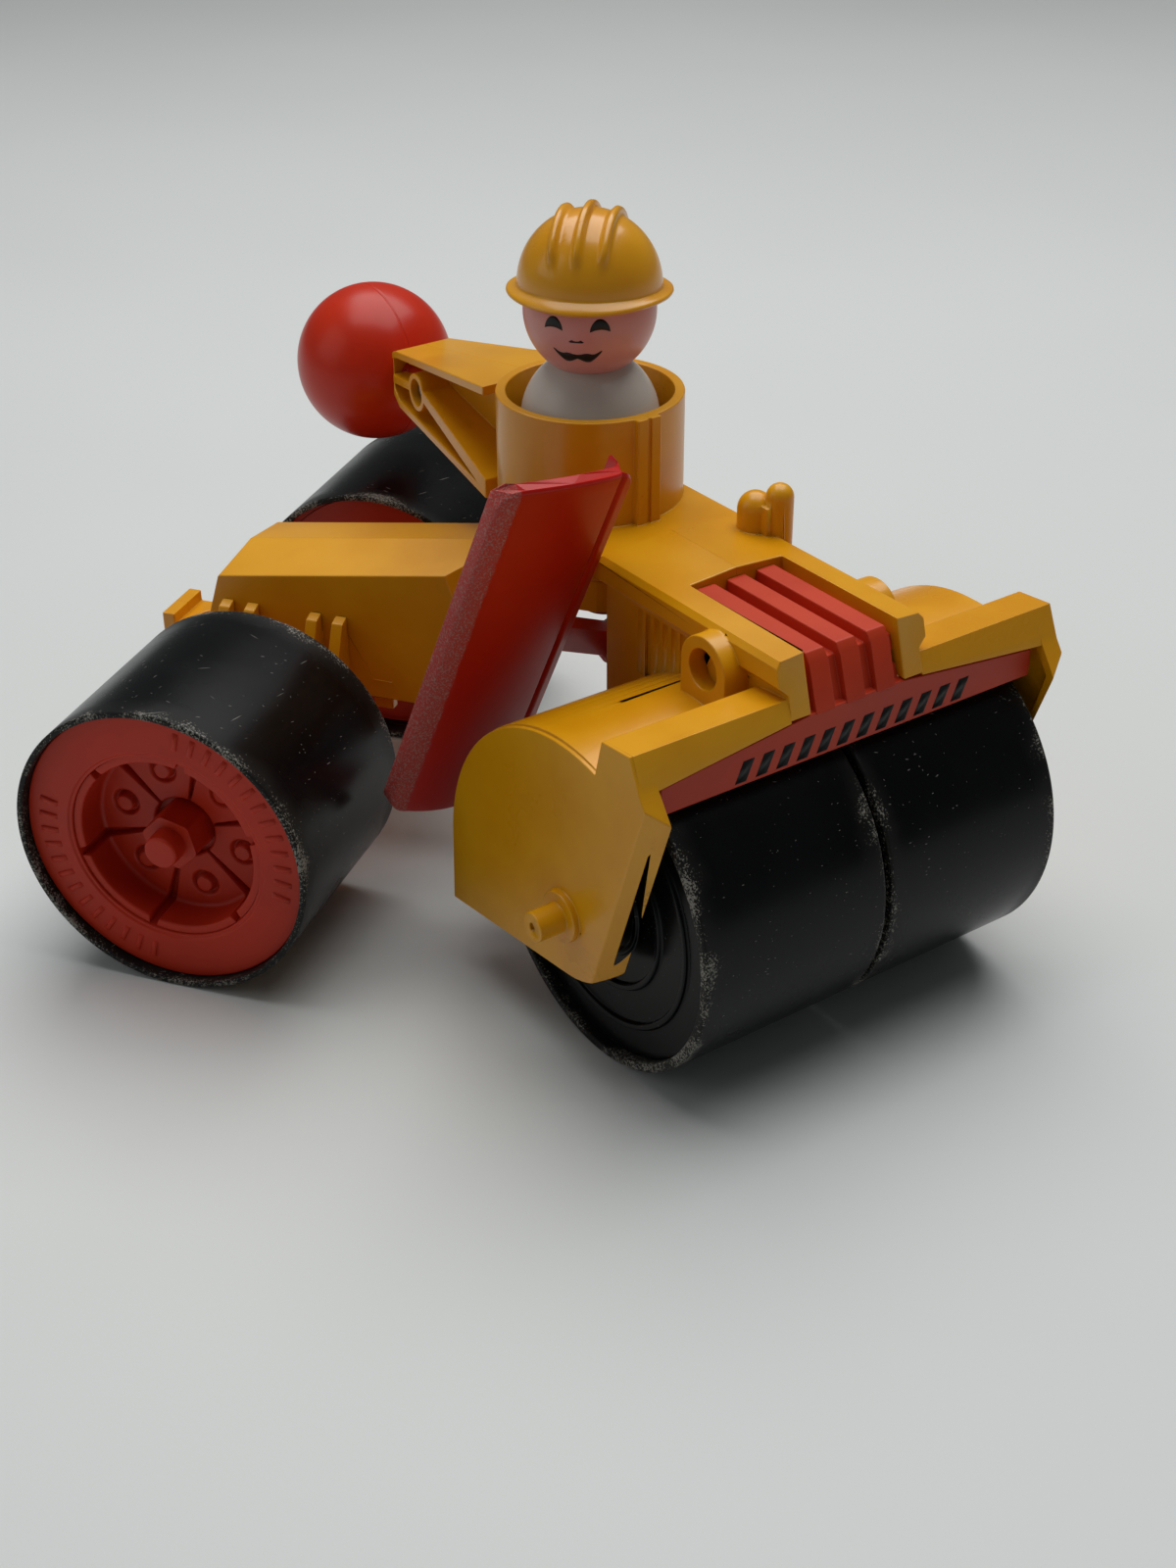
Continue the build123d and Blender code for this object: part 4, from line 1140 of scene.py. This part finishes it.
@dataclass
class Driver:
    """Peg driver: domed body, round head with a printed face, and a hard hat with three ridges."""

    front: Axes
    face_turn: float = -47.0
    body_r: float = 14.0
    shoulder: float = 101.0
    head_r: float = 13.2
    head_z: float = 123.5
    brim_z: float = 126.4
    crown_r: float = 14.3
    crown_h: float = 14.9
    brim_r: float = 16.4
    tip_back: float = 0.075
    lift: float = 1.9

    def build(self, colours: Palette) -> None:
        """Make the body, head, face and hat on axes that look where the driver looks."""
        seat = np.array(joint("driver_turn")["pos_m"])
        look = radians(self.face_turn)
        ahead = np.array((cos(look), sin(look), 0.0))
        axes = Axes(np.array((seat[0], seat[1], 0.0)), np.array((ahead, np.cross(UP, ahead), UP)))
        spin = Axes(axes.origin, np.array((UP, axes.rows[0], axes.rows[1])))
        commit(turned("peg_body", spin, self.body_profile(), 96, ring=False), "driver", colours.white,
               "driver_body")
        angle = np.linspace(0, pi, 49)
        ball = np.stack([self.head_z - self.head_r * np.cos(angle), self.head_r * np.sin(angle)], 1)
        commit(turned("peg_head", spin, ball, 96, ring=False), "driver", colours.skin, "driver_head")
        commit(self.hat(axes), "driver", colours.hat, "driver_hat")
        for feature in Feature:
            commit(self.printed(axes, feature), "driver", colours.ink)

    def body_profile(self) -> np.ndarray:
        """Straight sides, a domed shoulder and a hollow below."""
        bottom = float(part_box("driver_body")[0][2]) / MM
        turn = np.linspace(0, radians(66), 16)
        dome = np.stack([self.shoulder + self.body_r * np.sin(turn), self.body_r * np.cos(turn)], 1)
        sides = rounded([(self.shoulder - 6.0, 0.0, 0.0), (self.shoulder - 6.0, self.body_r - 2.0, 0.6),
                         (bottom, self.body_r - 2.0, 0.4), (bottom, self.body_r, 1.0),
                         (self.shoulder, self.body_r, 0.0)], ring=False)
        return np.concatenate([sides, dome[1:], [(self.shoulder + 12.9, 0.0)]])

    def hat(self, axes: Axes) -> bpy.types.Object:
        """Hard hat.

        The crown's radius shrinks as an ellipse with height, three ridges add a rounded height where the point
        is near their lines, and below the crown the brim flares out and rolls under. The whole hat is lifted
        and tipped back: height + lift + tip_back * forward.
        """
        turn = np.linspace(0, 2 * pi, 240, endpoint=False)[None, :]
        rise = np.linspace(pi / 2, 0.0, 60)[:, None]
        x = self.crown_r * np.cos(rise) * np.cos(turn)
        y = self.crown_r * np.cos(rise) * np.sin(turn)
        z = self.crown_h * np.sin(rise) + 0 * turn
        length = np.sqrt(x ** 2 + y ** 2 + z ** 2)
        ridge = sum(np.exp(-((y - line) / 0.85) ** 4) for line in (-4.9, 0.0, 4.9))
        fade = 1 / (1 + np.exp(-(z - 7.2) / 0.7))
        fade = fade * (1 / (1 + np.exp(-(x + 11.5) / 0.6)))
        grow = 1 + 1.35 * ridge * fade / length
        crown = np.stack([x * grow, y * grow, self.brim_z + z * grow], -1)
        reach = self.brim_r - self.crown_r
        roll = np.array(((0.12, -0.05), (0.45, -0.1), (0.8, -0.2), (0.97, -0.4), (1.0, -0.7), (0.93, -1.0),
                         (0.75, -1.1), (0.4, -0.95), (0.0, -0.85), (-0.25, -0.8)))
        radius = self.crown_r + roll[:, 0:1] * reach
        front = np.exp(-(np.angle(np.exp(1j * turn)) / 1.0) ** 2)
        drop = roll[:, 1:2] - 1.5 * front * np.clip(roll[:, 0:1], 0, 1)
        brim = np.stack([radius * np.cos(turn), radius * np.sin(turn), self.brim_z + drop], -1)
        inside = self.crown_r - 1.4
        cup = np.linspace(0, pi / 2, 16)[1:, None]
        lining = np.stack([inside * np.cos(cup) * np.cos(turn), inside * np.cos(cup) * np.sin(turn),
                           self.brim_z + (self.crown_h - 1.6) * np.sin(cup) + 0 * turn], -1)
        grid = np.concatenate([crown, brim, lining])
        grid[..., 2] += self.lift + self.tip_back * grid[..., 0]
        return surface("hard_hat", axes.place(grid), wrap_cols=True)

    def printed(self, axes: Axes, feature: Feature) -> bpy.types.Object:
        """One printed feature, a thin raised pad on the head.

        The outline is given by across = f(u) and a lower and an upper height for each u, in millimetres on the
        face; v runs from the lower to the upper. Angles are those lengths over the head's radius.
        """
        u = np.sin(np.linspace(-pi / 2, pi / 2, 61))
        side = np.abs(u)
        if feature is Feature.MOUSTACHE:
            across = 5.2 * u
            middle_z = -5.95 + 1.5 * np.clip((side - 0.55) / 0.45, 0, 1) ** 1.5 - 0.3 * np.sin(pi * side)
            half = (0.42 + 0.75 * np.exp(-((side - 0.42) / 0.3) ** 2)) * np.sqrt(np.clip(1 - side ** 8, 0, 1))
            low, high = middle_z - half, middle_z + half
        elif feature is Feature.NOSE:
            across = 1.5 * u
            closed = (1 - side ** 8)
            low = -2.45 - 0.22 * closed
            high = -2.45 + (0.12 + 0.25 * np.exp(-((side - 0.6) / 0.22) ** 2)) * closed
        else:
            across = (4.7 if feature is Feature.LEFT_EYE else -4.7) + 2.0 * u
            low = -0.4 + 0.5 * (1 - u ** 2)
            high = low + 2.1 * np.sqrt(np.clip(1 - u ** 2, 0, 1))
        v = np.array((0.0, 0.0, 0.25, 0.5, 0.75, 1.0, 1.0))[:, None]
        lift_off = np.array((-0.06, 0.035, 0.05, 0.05, 0.05, 0.035, -0.06))[:, None]
        height = low[None] + (high - low)[None] * v
        radius = self.head_r + lift_off
        turn, climb = across[None] / self.head_r + 0 * v, height / self.head_r
        grid = np.stack([radius * np.cos(climb) * np.cos(turn), radius * np.cos(climb) * np.sin(turn),
                         self.head_z + radius * np.sin(climb)], -1)
        centre = axes.place(np.array((0.0, 0.0, self.head_z)))
        return surface(f"face_{feature.value}", axes.place(grid), closed=False, away_from=centre)


# ---------------------------------------------------------------- fasteners
@dataclass
class Fasteners:
    """Steel rivet, pins and screws."""

    def build(self, colours: Palette) -> None:
        """Domed rivet through the boom; the other steel pieces keep their CAD shape."""
        low, high = (np.array(corner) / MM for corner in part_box("boom_rivet"))
        half = float(high[1] - low[1]) / 2
        profile = rounded([(-half, 0.0, 0.0), (-half, 0.8, 0.2), (-half + 0.25, 1.0, 0.2), (-half, 1.4, 0.2),
                           (-half, 2.3, 0.4), (-half + 0.9, 2.6, 0.3), (-half + 0.9, 1.5, 0.2),
                           (half - 0.9, 1.5, 0.2), (half - 0.9, 2.6, 0.3), (half, 2.2, 0.5), (half, 0.0, 0.0)],
                          ring=False)
        pin = turned("boom_pin", across_axes(middle("boom_rivet")), profile, 64, ring=False)
        commit(pin, "front_frame", colours.steel, "boom_rivet")
        for node in ("front_axle", "kingpin", "front_screws", "blade_pivot_pin", "rear_axle", "rear_screws",
                     "blade_screws"):
            dress(frame["nodes"][node], colours.steel.material)
        for node in ("drum_washers", "blade_washer"):
            dress(frame["nodes"][node], colours.white.material)
        dress(frame["nodes"]["kingpin_bush"], colours.yellow.material)


# ---------------------------------------------------------------- studio
@dataclass(frozen=True)
class Softbox:
    """Square area light; its place is in metres away from the camera, to the right and up from the middle."""

    name: str
    away: float
    right: float
    up: float
    size: float
    watts: float


@dataclass
class Studio:
    """Pale floor, soft lights and the camera."""

    front: Axes
    floor_size: float = 5.0
    sky: float = 0.11
    aim: tuple[float, float, float] = (-40.0, 0.0, 40.0)
    softboxes: tuple[Softbox, ...] = (Softbox("overhead", 0.3, 0.05, 1.0, 1.15, 12.6),
                                      Softbox("left_fill", -0.3, -1.3, 0.7, 1.0, 2.0))
    camera_at: tuple[float, float, float] = (272.3, -235.9, 263.4)
    yaw: float = 144.884
    pitch: float = -31.339
    roll: float = -0.257
    lens: float = 49.5

    def build(self) -> None:
        """Make the floor, world, lights and camera."""
        bpy.context.scene.view_settings.view_transform = "Standard"
        self.floor()
        self.world()
        for box in self.softboxes:
            self.light(box)
        self.camera()

    def floor(self) -> None:
        """Flat sheet just below the object, with a faint clouding."""
        line = np.linspace(-self.floor_size, self.floor_size, 9)
        x, y = np.meshgrid(line, line)
        sheet = surface("floor", np.stack([x, y, np.zeros_like(x)], -1), closed=False)
        if sheet.data.polygons[0].normal.z < 0:
            sheet.data.flip_normals()
        mat, g, shader, at = new_material("pale_paper")
        cloud = g.ramp(g.noise(at, 3.0, 3.0, 0.5), 0.3, 0.7)
        g.wire(shader, {"Base Color": g.mix(cloud, tone("d6d9d7"), tone("dadddb")), "Roughness": 0.55,
                        "Normal": g.bump(g.noise(at, 900.0, 2.0, 0.5), 0.0001, 0.2)})
        dress(sheet, mat)

    def world(self) -> None:
        """Even pale surroundings."""
        world = bpy.data.worlds.new("studio")
        bpy.context.scene.world = world
        world.use_nodes = True
        back = world.node_tree.nodes["Background"]
        back.inputs[0].default_value = tone("e6eaec")
        back.inputs[1].default_value = self.sky

    def light(self, box: Softbox) -> None:
        """Softbox that faces the middle of the toy."""
        towards = Vector(self.front.place(np.array(self.aim)).tolist())
        away = Vector((cos(radians(self.yaw)), sin(radians(self.yaw)), 0.0))
        right = Vector((away.y, -away.x, 0.0))
        lamp = bpy.data.lights.new(box.name, "AREA")
        lamp.size = box.size
        lamp.energy = box.watts
        obj = linked(box.name, lamp)
        obj.location = towards + away * box.away + right * box.right + Vector(UP) * box.up
        obj.rotation_euler = (towards - obj.location).to_track_quat("-Z", "Y").to_euler()

    def camera(self) -> None:
        """Camera from its place on the front axes and its yaw, pitch and roll."""
        data = bpy.data.cameras.new("camera")
        data.lens = self.lens
        data.sensor_fit = "VERTICAL"
        data.sensor_height = 36.0
        data.clip_end = 50.0
        obj = linked("camera", data)
        yaw, pitch, roll = (radians(angle) for angle in (self.yaw, self.pitch, self.roll))
        ahead = Vector((cos(pitch) * cos(yaw), cos(pitch) * sin(yaw), sin(pitch)))
        right = ahead.cross(Vector(UP)).normalized()
        up = right.cross(ahead)
        right, up = cos(roll) * right + sin(roll) * up, -sin(roll) * right + cos(roll) * up
        turn = Matrix((right, up, -ahead)).transposed()
        place = Matrix.Translation(self.front.place(np.array(self.camera_at)).tolist())
        obj.matrix_world = place @ turn.to_4x4()
        bpy.context.scene.camera = obj


def main() -> None:
    """Build every piece in order."""
    logging.basicConfig(level=logging.INFO, format="%(message)s")
    front, rear, blade = front_axes(), rear_axes(), blade_axes()
    worn = np.array((WORN_ACROSS, 0.0, 0.0))
    colours = Palette(front, rear, blade, float(blade.place(worn) @ -blade.rows[0]))
    Mouldings(front, rear).build(colours)
    BallKnob().build(colours)
    DrumPair(front).build(colours)
    for side, name in SIDES:
        RearRoller(rear, side, name).build(colours)
    Blade(blade).build(colours)
    Driver(front).build(colours)
    Fasteners().build(colours)
    Studio(front).build()


if __name__ == "__main__":
    main()
